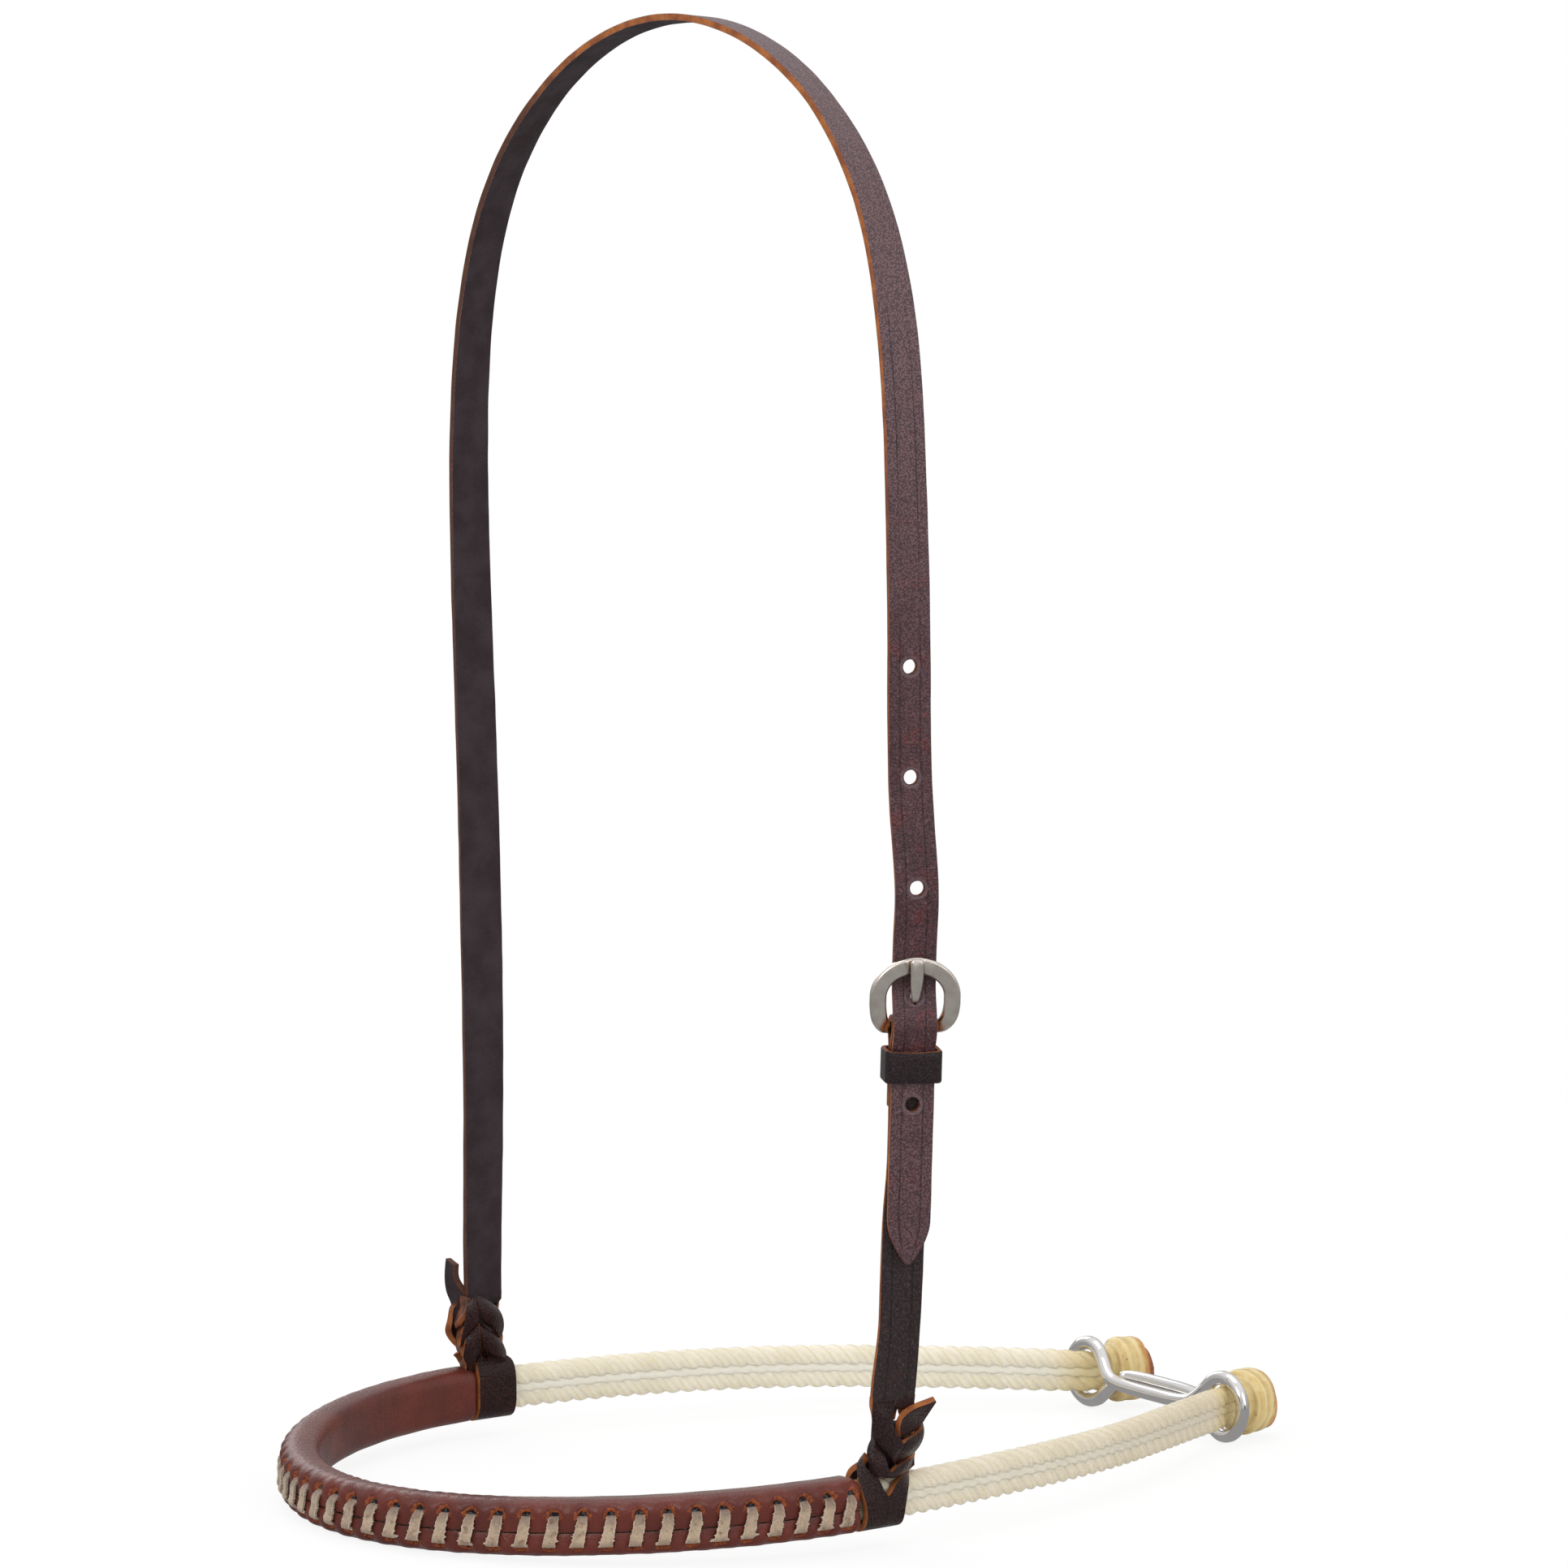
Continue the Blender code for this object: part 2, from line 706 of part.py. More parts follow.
def make_wrap(name, noseband, along, cutters):
    """The band of strap leather that goes round both ropes under a knot."""
    middle, ahead, outward, up = noseband.frame(along)
    wall_middle = WRAP_INNER + STRAP_THICKNESS / 2
    rings = []
    for index in range(WRAP_STATIONS):
        angle = 2 * math.pi * index / WRAP_STATIONS
        lift = math.copysign(ROPE_SPACING / 2, math.sin(angle)) if abs(math.sin(angle)) > 1e-6 else 0.0
        spoke = outward * math.cos(angle) + up * math.sin(angle)
        centre = middle + up * lift + spoke * wall_middle
        rings.append(ring_at(centre, ahead, spoke, strap_section(WRAP_WIDTH, STRAP_THICKNESS)))
    wrap = add_cutter(name + "_wrap", mesh_from_rings(name + "_wrap", rings, closed=True), cutters)
    return wrap


def make_knot(name, noseband, along, shift, strap, top_distance, cutters):
    """The plaited knot above a wrap as one swelling block, narrowing up to the strap."""
    middle, ahead, outward, up = noseband.frame(along)
    foot = middle + up * (PAIR_HALF_HEIGHT + CLEARANCE + STRAP_THICKNESS / 3) + ahead * shift
    top, _, top_side, _ = strap.frame(top_distance)
    if np.dot(top_side, ahead) < 0:
        top_side = -top_side
    rings = []
    for step in range(KNOT_STATIONS + 1):
        share = step / KNOT_STATIONS
        centre = foot * (1 - share) + top * share + outward * KNOT_BULGE * math.sin(math.pi * share)
        travel = unit(top - foot)
        side = ahead * (1 - share) + top_side * share
        side = unit(side - travel * np.dot(side, travel))
        face = np.cross(side, travel)
        swell = min(1.0, share / KNOT_SWELL_SHARE)
        lobes = KNOT_WAIST * (0.5 + 0.5 * math.cos(2 * math.pi * KNOT_LOBES * share)) * swell
        width = KNOT_FOOT_WIDTH + (KNOT_WIDTH - KNOT_FOOT_WIDTH) * swell - lobes
        taper = max(0.0, share - KNOT_TAPER_SHARE) / (1 - KNOT_TAPER_SHARE)
        width += (STRAP_WIDTH + KNOT_TOP_PROUD - width) * taper
        depth = KNOT_THICKNESS + (STRAP_THICKNESS + KNOT_TOP_PROUD - KNOT_THICKNESS) * taper
        rings.append(ring_at(centre, side, face, superellipse(width / 2, depth / 2, KNOT_SIDES)))
    return add_cutter(name + "_knot", mesh_from_rings(name + "_knot", rings), cutters)


def make_tail(name, noseband, along, start, root, reach, side, widths, cutters):
    """The strap's end, pulled out of the knot's last slit; widths are shares of the tail's width."""
    _, *axes = noseband.frame(along)
    foot = start + sum(axis * length for axis, length in zip(axes, root))
    tip = foot + sum(axis * length for axis, length in zip(axes, reach))
    travel = unit(tip - foot)
    side = unit(side - travel * np.dot(side, travel))
    face = np.cross(travel, side)
    rings = []
    for index, width in enumerate(widths):
        centre = foot + (tip - foot) * index / (len(widths) - 1)
        rings.append(ring_at(centre, side, face, strap_section(TAIL_WIDTH * width, TAIL_THICKNESS)))
    return add_cutter(name + "_tail", mesh_from_rings(name + "_tail", rings), cutters)


def ribbon_mesh(name, ribbon, distances, width_at):
    rings = []
    for distance in distances:
        centre, _, side, face = ribbon.frame(distance)
        rings.append(ring_at(centre, side, face, strap_section(width_at(distance), STRAP_THICKNESS)))
    return mesh_from_rings(name, rings)


def front_layer(below):
    """The fold's front layer at a length below the bar: its place up the strap and out from it."""
    share = min(1.0, below / LAYERS_CLOSE_BELOW_BAR)
    spread = 1 - share * share * (3 - 2 * share)
    return np.array([-below, FRONT_LAYER + (BAR_LEVEL + FOLD_RADIUS - FRONT_LAYER) * spread])


def crown_layer(below):
    """The crown strap where it lies on the fold's front layer, one layer further out."""
    slope = front_layer(below - 0.05) - front_layer(below + 0.05)
    slope = slope / np.linalg.norm(slope)
    return front_layer(below) + np.array([-slope[1], slope[0]]) * LAYER_STEP


def closing_steps():
    return [LAYERS_CLOSE_BELOW_BAR * step / FOLD_STEPS for step in range(1, FOLD_STEPS + 1)]


def straight_marks(stop):
    """Lengths below the bar at which a layer is held straight, from where the layers close to stop."""
    reach = stop - LAYERS_CLOSE_BELOW_BAR
    return [LAYERS_CLOSE_BELOW_BAR + reach * step / STRAIGHT_MARKS for step in range(1, STRAIGHT_MARKS + 1)]


def crown_ribbon(plane, seat):
    points = [plane.at(across, height) for across, height in CROWN_POINTS]
    leaves_rim = RIM_TOP_HEIGHT - RIM_WIDTH
    seated = [
        (2 * RIM_TOP_HEIGHT, 0.0),
        (RIM_TOP_HEIGHT + RIM_WIDTH, CROWN_BEHIND_RIM),
        (RIM_TOP_HEIGHT, CROWN_BEHIND_RIM),
        (leaves_rim, CROWN_BEHIND_RIM),
    ]
    for step in range(1, FOLD_STEPS + 1):
        share = step / FOLD_STEPS
        rise = share * share * (3 - 2 * share)
        seated.append((leaves_rim * (1 - share), CROWN_BEHIND_RIM + (CROWN_OVER_BAR - CROWN_BEHIND_RIM) * rise))
    seated += [crown_layer(below) for below in closing_steps()]
    straight = straight_marks(CHEEK_STRAIGHT_BELOW_BAR) + [CROWN_TIP_BELOW_BAR]
    seated += [(-below, CROWN_LAYER) for below in straight]
    sides = plane.twisted_sides(points, CROWN_TWISTS_DEG)
    points += [seat.at(height, out) for height, out in seated]
    sides += [seat.side] * len(seated)
    return Ribbon(points, sides)


def cheek_ribbon(plane, seat):
    front = [front_layer(below) for below in closing_steps()]
    rear = [np.array([height, 2 * BAR_LEVEL - out]) for height, out in front]
    folded = [(-below, REAR_LAYER) for below in reversed(straight_marks(FOLD_TAIL_LENGTH))]
    folded += reversed(rear)
    for step in range(FOLD_STEPS + 1):
        angle = math.pi * step / FOLD_STEPS
        folded.append((FOLD_RADIUS * math.sin(angle), BAR_LEVEL - FOLD_RADIUS * math.cos(angle)))
    folded += front
    folded += [(-below, FRONT_LAYER) for below in straight_marks(CHEEK_STRAIGHT_BELOW_BAR)]
    points = [seat.at(height, out) for height, out in folded]
    feet = [plane.at(across, height) for across, height in CHEEK_FOOT_POINTS]
    sides = [seat.side] * len(points)
    sides += plane.twisted_sides([points[-1]] + feet, [BUCKLE_TWIST_DEG] + CHEEK_FOOT_TWISTS_DEG)[1:]
    return Ribbon(points + feet, sides)


def punch_hole(strap, name, ribbon, distance, length, cutters):
    centre, ahead, _, face = ribbon.frame(distance)
    stretch = length - HOLE_DIAMETER
    peg = peg_mesh(name, centre, face, ahead, HOLE_DIAMETER, 3 * STRAP_THICKNESS, stretch)
    combine(strap, add_cutter(name, peg, cutters), "DIFFERENCE")


def make_crown_strap(noseband, plane, seat, group, cutters, material):
    """From the far knot over the poll, down behind the buckle's rim and over its bar to the point."""
    ribbon = crown_ribbon(plane, seat)
    length = ribbon.route.length
    buckle_start = ribbon.distance_near(seat.at(RIM_TOP_HEIGHT + RIM_WIDTH, CROWN_BEHIND_RIM))
    buckle_end = ribbon.distance_near(seat.at(-LAYERS_CLOSE_BELOW_BAR, CROWN_LAYER))
    distances = even_steps(0.0, buckle_start, STRAP_STEP)
    distances += even_steps(buckle_start, buckle_end, BUCKLE_STEP)
    distances += even_steps(buckle_end, length - TIP_LENGTH, STRAP_STEP)
    distances += [length - TIP_LENGTH * (1 - share) for share in TIP_STATIONS]

    def width_at(distance):
        left = max(0.0, distance - (length - TIP_LENGTH)) / TIP_LENGTH
        return STRAP_WIDTH * (1 - (1 - TIP_SHARE) * left**1.7)

    mesh = ribbon_mesh("crown_strap", ribbon, distances, width_at)
    strap = add_object("crown_strap", mesh, group, material)
    along = -HANGER_ALONG_ROPE
    knot_top = KNOT_OVERLAP
    top, _, _, _ = ribbon.frame(knot_top)
    _, ahead, _, _ = noseband.frame(along)
    combine(strap, make_knot("far", noseband, along, FAR_KNOT_SHIFT, ribbon, knot_top, cutters), "UNION")
    combine(strap, make_wrap("far", noseband, along, cutters), "UNION")
    tail = make_tail(
        "far", noseband, along, top, FAR_TAIL_ROOT, FAR_TAIL_REACH, ahead, FAR_TAIL_WIDTHS, cutters
    )
    combine(strap, tail, "UNION")
    tongue_hole = ribbon.distance_near(seat.at(TONGUE_HOLE_ABOVE_BAR, 0.0))
    punch_hole(strap, "tongue_hole", ribbon, tongue_hole, TONGUE_HOLE_LENGTH, cutters)
    for count in range(-SPARE_HOLES_ABOVE, SPARE_HOLES_BELOW + 1):
        if count != 0:
            place_along = tongue_hole + count * HOLE_PITCH
            punch_hole(strap, f"spare_hole_{count}", ribbon, place_along, HOLE_DIAMETER, cutters)
    smooth(strap)
    return strap


def make_cheek_strap(noseband, plane, seat, group, cutters, material):
    """From the near knot up behind the strap's point, folded back over the buckle's bar."""
    ribbon = cheek_ribbon(plane, seat)
    length = ribbon.route.length
    fold_start = ribbon.distance_near(seat.at(-LAYERS_CLOSE_BELOW_BAR, REAR_LAYER))
    fold_end = ribbon.distance_near(seat.at(-LAYERS_CLOSE_BELOW_BAR, FRONT_LAYER))
    distances = even_steps(0.0, fold_start, STRAP_STEP) + even_steps(fold_start, fold_end, FOLD_STEP)
    distances += even_steps(fold_end, length, STRAP_STEP) + [length]
    mesh = ribbon_mesh("cheek_strap", ribbon, distances, lambda distance: STRAP_WIDTH)
    strap = add_object("cheek_strap", mesh, group, material)
    along = HANGER_ALONG_ROPE
    knot_top = length - KNOT_OVERLAP
    top, _, _, _ = ribbon.frame(knot_top)
    _, _, _, up = noseband.frame(along)
    combine(strap, make_knot("near", noseband, along, NEAR_KNOT_SHIFT, ribbon, knot_top, cutters), "UNION")
    combine(strap, make_wrap("near", noseband, along, cutters), "UNION")
    tail = make_tail(
        "near", noseband, along, top, NEAR_TAIL_ROOT, NEAR_TAIL_REACH, up, NEAR_TAIL_WIDTHS, cutters
    )
    combine(strap, tail, "UNION")
    slot_height = FOLD_RADIUS + STRAP_THICKNESS
    slot_depth = 2 * (FOLD_RADIUS + STRAP_THICKNESS)
    centre = seat.at(slot_height / 2 - TONGUE_SLOT_DROP / 2, BAR_LEVEL)
    sizes = (TONGUE_WIDTH_AT_BAR + 2 * CLEARANCE, slot_height + TONGUE_SLOT_DROP, slot_depth)
    slot = box_mesh("tongue_slot", centre, (seat.side, seat.rise, seat.face), sizes)
    combine(strap, add_cutter("tongue_slot", slot, cutters), "DIFFERENCE")
    smooth(strap)
    return strap


def buckle_outline():
    """Right half of the frame's middle line from the bar to the rim's top.

    Each point holds its place across, up and out, and how far it has turned from rim to bar."""
    half_width = (FRAME_WIDTH - RIM_WIDTH) / 2
    bar_end = STRAP_WIDTH / 2 + 2 * CLEARANCE
    corner = []
    for across, height, out, turned in natural_spline(FRAME_CORNER_POINTS, FRAME_CORNER_STEPS):
        place_across = bar_end + (half_width - bar_end) * across
        corner.append((place_across, height, BAR_LEVEL + (RIM_LEVEL - BAR_LEVEL) * out, max(turned, 0.0)))
    top_rise = RIM_TOP_HEIGHT - FRAME_WIDEST_ABOVE_BAR
    for step in range(FRAME_ARC_STEPS + 1):
        angle = math.pi / 2 * step / FRAME_ARC_STEPS
        height = FRAME_WIDEST_ABOVE_BAR + top_rise * math.sin(angle)
        corner.append((half_width * math.cos(angle), height, RIM_LEVEL, 0.0))
    return corner


def make_buckle_frame(seat, group, cutters, material):
    """A horseshoe rim with a flat bevelled face, drawn in and back to a round bar."""
    half = buckle_outline()
    mirrored = [(-across, height, out, turned) for across, height, out, turned in reversed(half[:-1])]
    outline = half + mirrored
    rings = []
    for index, (across, height, out, turned) in enumerate(outline):
        before = np.array(outline[index - 1][:3])
        after = np.array(outline[(index + 1) % len(outline)][:3])
        here = np.array([across, height, out])
        lead = unit(unit(here - before) + unit(after - here))
        travel = seat.side * lead[0] + seat.rise * lead[1] + seat.face * lead[2]
        wide = unit(np.cross(travel, seat.face))
        face = np.cross(wide, travel)
        half_rim = RIM_WIDTH / 2 + (BAR_RADIUS - RIM_WIDTH / 2) * turned
        half_thick = RIM_THICKNESS / 2 + (BAR_RADIUS - RIM_THICKNESS / 2) * turned
        cut = RIM_BEVEL + (BAR_RADIUS * (2 - math.sqrt(2)) - RIM_BEVEL) * turned
        section = [
            (half_rim, -half_thick + cut),
            (half_rim, half_thick - cut),
            (half_rim - cut, half_thick),
            (-half_rim + cut, half_thick),
            (-half_rim, half_thick - cut),
            (-half_rim, -half_thick + cut),
            (-half_rim + cut, -half_thick),
            (half_rim - cut, -half_thick),
        ]
        rings.append(ring_at(seat.at(height, out, across), wide, face, section))
    frame = add_object("buckle_frame", mesh_from_rings("buckle_frame", rings, closed=True), group, material)
    centre = seat.at(RIM_TOP_HEIGHT, NOTCH_FLOOR + RIM_THICKNESS / 2)
    sizes = (TONGUE_WIDTH_AT_RIM + 2 * CLEARANCE, 2 * RIM_WIDTH, RIM_THICKNESS)
    notch = box_mesh("tongue_notch", centre, (seat.side, seat.rise, seat.face), sizes)
    combine(frame, add_cutter("tongue_notch", notch, cutters), "DIFFERENCE")
    set_origin(frame, seat.bar)
    smooth(frame)
    return frame


def make_tongue(seat, group, cutters, material):
    """A flat pin curled round the bar, up through the strap's hole and over the rim."""
    bore = BAR_DIAMETER + 2 * CLEARANCE
    barrel_diameter = bore + 2 * TONGUE_BARREL_WALL
    on_rim = NOTCH_FLOOR + CLEARANCE + TONGUE_THICKNESS / 2
    middle_radius = (bore + TONGUE_BARREL_WALL) / 2
    behind_strap = BAR_LEVEL + middle_radius / 2
    in_hole = TONGUE_WIDTH_IN_HOLE
    at_rim = TONGUE_WIDTH_AT_RIM
    hole = TONGUE_HOLE_ABOVE_BAR
    curl_top = (middle_radius, behind_strap, TONGUE_WIDTH_AT_BAR)
    stations = [curl_top]
    for above, out in TONGUE_BENDS:
        stations.append((hole + above, behind_strap + (on_rim - behind_strap) * out, in_hole))
    stations += [
        (RIM_TOP_HEIGHT - RIM_WIDTH / 2, on_rim + TONGUE_CREST, at_rim),
        (RIM_TOP_HEIGHT + RIM_WIDTH / 2 - CLEARANCE, on_rim, at_rim),
    ]
    rings = []
    for index, (height, out, width) in enumerate(stations):
        before = stations[max(index - 1, 0)]
        after = stations[min(index + 1, len(stations) - 1)]
        travel = unit(seat.rise * (after[0] - before[0]) + seat.face * (after[1] - before[1]))
        face = np.cross(travel, seat.side)
        section = strap_section(width, TONGUE_THICKNESS)
        rings.append(ring_at(seat.at(height, out), seat.side, face, section))
    tongue = add_object("buckle_tongue", mesh_from_rings("buckle_tongue", rings), group, material)
    barrel = peg_mesh("tongue_barrel", seat.bar, seat.side, seat.rise, barrel_diameter, TONGUE_WIDTH_AT_BAR)
    combine(tongue, add_cutter("tongue_barrel", barrel, cutters), "UNION")
    bored = peg_mesh("tongue_bore", seat.bar, seat.side, seat.rise, bore, 3 * TONGUE_WIDTH_AT_BAR)
    combine(tongue, add_cutter("tongue_bore", bored, cutters), "DIFFERENCE")
    set_origin(tongue, seat.bar)
    smooth(tongue)
    return tongue


def make_keeper(seat, group, material):
    """The loose leather runner round the strap's point, the cheek strap and its fold."""
    half_width = STRAP_WIDTH / 2 + 2 * CLEARANCE + KEEPER_WALL / 2
    top = CROWN_LAYER + STRAP_THICKNESS / 2 + CLEARANCE + KEEPER_WALL / 2
    bottom = REAR_LAYER - STRAP_THICKNESS / 2 - CLEARANCE - KEEPER_WALL / 2
    middle_level = (top + bottom) / 2
    half_depth = (top - bottom) / 2
    outline = rounded_outline(half_width, half_width, half_depth, KEEPER_CORNER_RADIUS, 3, 0.0)[1:-1]
    rings = []
    for index, (across, out) in enumerate(outline):
        before = outline[index - 1]
        after = outline[(index + 1) % len(outline)]
        travel = np.array([after[0] - before[0], after[1] - before[1]])
        travel = travel / np.linalg.norm(travel)
        spoke = seat.side * travel[1] - seat.face * travel[0]
        centre = seat.at(-KEEPER_BELOW_BAR, middle_level + out, across)
        rings.append(ring_at(centre, seat.rise, spoke, strap_section(KEEPER_HEIGHT, KEEPER_WALL)))
    keeper = add_object("keeper_loop", mesh_from_rings("keeper_loop", rings, closed=True), group, material)
    set_origin(keeper, seat.at(-KEEPER_BELOW_BAR, middle_level))
    smooth(keeper)
    return keeper


def closed_curve(points, spans):
    """Points along a smooth closed line through the given ones."""
    knots = [np.array(point, dtype=float) for point in points]
    count = len(knots)
    line = []
    for index in range(count):
        before, start, end, after = (knots[(index + shift) % count] for shift in (-1, 0, 1, 2))
        for step in range(spans):
            share = step / spans
            line.append(
                0.5
                * (
                    2 * start
                    + (end - before) * share
                    + (2 * before - 5 * start + 4 * end - after) * share**2
                    + (3 * start - before - 3 * end + after) * share**3
                )
            )
    return line


def make_chin_link(group, material):
    """One closed wire: an eye at each end, crossed necks, and two runs between them."""
    depth = EYE_WIRE_RADIUS + CLEARANCE / 2
    half = [(0.0, -depth, -LINK_SPREAD)]
    half += [(EYE_HALF_SPACING - EYE_RADIUS - reach, -depth, height) for reach, height in LINK_NECK]
    opening = 180 - LINK_EYE_STEP_DEG
    for degrees in range(opening, -opening - 1, -LINK_EYE_STEP_DEG):
        angle = math.radians(degrees)
        aside = -LINK_EYE_SET * max(0.0, -math.cos(angle)) ** 2 * math.copysign(1.0, degrees)
        half.append((EYE_HALF_SPACING + EYE_RADIUS * math.cos(angle), aside, EYE_RADIUS * math.sin(angle)))
    half += [(across, -back, -height) for across, back, height in reversed(half[1 : 1 + len(LINK_NECK)])]
    half.append((0.0, depth, LINK_SPREAD))
    mirrored = [(-across, back, height) for across, back, height in reversed(half[1:-1])]
    points = closed_curve(half + mirrored, LINK_SPANS)
    curve = tube_curve("chin_link", points, EYE_WIRE_RADIUS, 2, closed=True)
    link = add_object("chin_link", curve, group, material)
    link.location = place((0.0, EYE_BEHIND_NOSE, EYE_LIFT))
    return link


def main():
    reset_scene()
    group = make_collection(COLLECTION_NAME)
    cutters = make_collection(CUTTER_COLLECTION_NAME)
    noseband = Noseband()
    plane = StrapPlane(noseband)
    seat = BuckleSeat(plane)
    rope_white = make_material("rope", (0.78, 0.74, 0.62), 0.5)
    burnt_rope = make_material("burnt_rope", (0.72, 0.58, 0.28), 0.5)
    chestnut = make_material("chestnut_leather", (0.18, 0.05, 0.03), 0.45)
    suede = make_material("suede_lace", (0.42, 0.33, 0.24), 0.9)
    dark_leather = make_material("dark_leather", (0.045, 0.022, 0.022), 0.5)
    satin_steel = make_material("satin_steel", (0.55, 0.53, 0.5), 0.35, 1.0)
    bright_steel = make_material("bright_steel", (0.75, 0.75, 0.76), 0.12, 1.0)
    make_rope("upper_rope", noseband, ROPE_SPACING / 2, group, rope_white)
    make_rope("lower_rope", noseband, -ROPE_SPACING / 2, group, rope_white)
    make_rope_end("near_rope_end", noseband, 1, group, burnt_rope)
    make_rope_end("far_rope_end", noseband, -1, group, burnt_rope)
    make_nose_cover(noseband, group, cutters, chestnut)
    make_lace(noseband, group, suede)
    make_crown_strap(noseband, plane, seat, group, cutters, dark_leather)
    make_cheek_strap(noseband, plane, seat, group, cutters, dark_leather)
    make_buckle_frame(seat, group, cutters, satin_steel)
    make_tongue(seat, group, cutters, satin_steel)
    make_keeper(seat, group, dark_leather)
    make_chin_link(group, bright_steel)
    print("bar centre", [round(float(value) * MM, 5) for value in seat.bar])
    print("bar axis", [round(float(value), 5) for value in seat.side])
    print("strap rise", [round(float(value), 5) for value in seat.rise])
    print("eye axis height", round(EYE_LIFT * MM, 5), "half length", round(noseband.middle, 2))


main()
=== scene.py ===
# %% [markdown]
# # A rope noseband
# Two stacked ropes go round the nose inside a laced leather cover, and a wire link gathers
# their ends under the chin. A leather hanger strap goes over the poll and buckles on the near
# side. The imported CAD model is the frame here: each visible piece is built again on the same
# lines, finer, and rides on the same body.

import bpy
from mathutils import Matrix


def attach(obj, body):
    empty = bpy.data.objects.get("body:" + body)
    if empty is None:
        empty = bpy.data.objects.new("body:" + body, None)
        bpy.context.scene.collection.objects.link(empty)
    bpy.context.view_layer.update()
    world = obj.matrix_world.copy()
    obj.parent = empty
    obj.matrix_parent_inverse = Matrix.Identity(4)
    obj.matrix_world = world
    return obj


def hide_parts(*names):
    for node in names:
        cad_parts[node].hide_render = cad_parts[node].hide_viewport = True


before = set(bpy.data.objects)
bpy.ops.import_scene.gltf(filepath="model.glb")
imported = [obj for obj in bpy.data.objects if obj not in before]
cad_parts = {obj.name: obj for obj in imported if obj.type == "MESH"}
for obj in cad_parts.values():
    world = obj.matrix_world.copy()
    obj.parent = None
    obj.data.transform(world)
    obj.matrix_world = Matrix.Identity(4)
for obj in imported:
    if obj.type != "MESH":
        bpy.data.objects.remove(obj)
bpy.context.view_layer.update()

# %% The tools that are used
import math

import bpy
import numpy as np
from mathutils import Matrix, Vector, noise

MM = 0.001
print("lengths below are in millimetres, and one is", MM, "of Blender's units")

# %% [markdown]
# ## Camera
# A real product camera stands far back with a long lens, so the picture has little
# perspective. The camera could be aimed with a constraint, but a matrix of its three axes is
# exact, and it keeps the small roll that the photograph has.

# %% Camera at the photograph's angle
AZIMUTH = 0.926904
ELEVATION = 0.147212
ROLL = 0.003896
PITCH_ON_TABLE = 0.0173
CAMERA_PLACE = (2.37913, -1.64134, 0.61723)
LENS_MM = 235.065
SENSOR_MM = 36.0
FAR_CLIP = 60.0


def tipped(vector):
    """Turns a direction about X: the noseband rests flat here and was tipped in the photograph."""
    return Matrix.Rotation(PITCH_ON_TABLE, 3, "X") @ Vector(vector)


level, rise = math.cos(ELEVATION), math.sin(ELEVATION)
back = (math.sin(AZIMUTH) * level, -math.cos(AZIMUTH) * level, rise)
right = Vector((math.cos(AZIMUTH), math.sin(AZIMUTH), 0.0))
above = Vector((-math.sin(AZIMUTH) * rise, math.cos(AZIMUTH) * rise, level))
rolled_right = right * math.cos(ROLL) + above * math.sin(ROLL)
rolled_above = above * math.cos(ROLL) - right * math.sin(ROLL)
axes = Matrix((tipped(rolled_right), tipped(rolled_above), tipped(back))).transposed()

camera_data = bpy.data.cameras.new("product_camera")
camera_data.lens = LENS_MM
camera_data.sensor_width = SENSOR_MM
camera_data.clip_end = FAR_CLIP
camera = bpy.data.objects.new("product_camera", camera_data)
bpy.context.scene.collection.objects.link(camera)
camera.matrix_world = Matrix.Translation(CAMERA_PLACE) @ axes.to_4x4()
bpy.context.scene.camera = camera
bpy.context.scene.view_settings.view_transform = "Standard"
print("camera at", CAMERA_PLACE, "lens", LENS_MM)

# %% [markdown]
# ## Shader sums
# A finish is a sum of patterns. Node trees get long when each Math node is placed by hand, so
# one small class lets numbers that vary over a surface be added and multiplied as in Python.


# %% Numbers that vary over a surface
class Pattern:
    """A socket of a node tree that can be written in sums."""

    def __init__(self, nodes, socket):
        self.nodes = nodes
        self.socket = socket

    def math(self, operation, *terms):
        return self.nodes.node("ShaderNodeMath", {"operation": operation}, dict(enumerate(terms)))

    def __add__(self, other):
        return self.math("ADD", self, other)

    def __mul__(self, other):
        return self.math("MULTIPLY", self, other)

    __radd__ = __add__
    __rmul__ = __mul__

    def __sub__(self, other):
        return self.math("SUBTRACT", self, other)

    def __rsub__(self, other):
        return self.math("SUBTRACT", other, self)

    def __truediv__(self, other):
        return self.math("DIVIDE", self, other)

    def size(self):
        return self.math("ABSOLUTE", self)

    def wave(self):
        return self.math("SINE", self)

    def root(self):
        return self.math("POWER", self, 0.5)

    def larger(self, other):
        return self.math("MAXIMUM", self, other)

    def from_repeat(self, pitch):
        """Distance to the nearest multiple of the pitch."""
        return self.math("PINGPONG", self, pitch / 2)

    def ranged(self, kind, start, end, low, high):
        values = {"Value": self, "From Min": start, "From Max": end, "To Min": low, "To Max": high}
        return self.nodes.node("ShaderNodeMapRange", {"interpolation_type": kind}, values)

    def evenly(self, low, high, start=0.0, end=1.0):
        """Runs evenly from low to high while this runs from start to end."""
        return self.ranged("LINEAR", start, end, low, high)

    def step(self, low, high):
        """0 below low, 1 above high, smooth between them; low may be the larger."""
        if low > high:
            return self.ranged("SMOOTHSTEP", high, low, 1.0, 0.0)
        return self.ranged("SMOOTHSTEP", low, high, 0.0, 1.0)


class Place(Pattern):
    """A position on a surface, in millimetres."""

    def part(self, axis):
        return self.nodes.node("ShaderNodeSeparateXYZ", {}, {0: self}, output=axis)

    def times(self, factor):
        values = {0: self, "Scale": factor}
        return self.nodes.node("ShaderNodeVectorMath", {"operation": "SCALE"}, values)

    def stretched(self, factors):
        return self.nodes.node("ShaderNodeVectorMath", {"operation": "MULTIPLY"}, {0: self, 1: factors})


print("patterns can be summed")

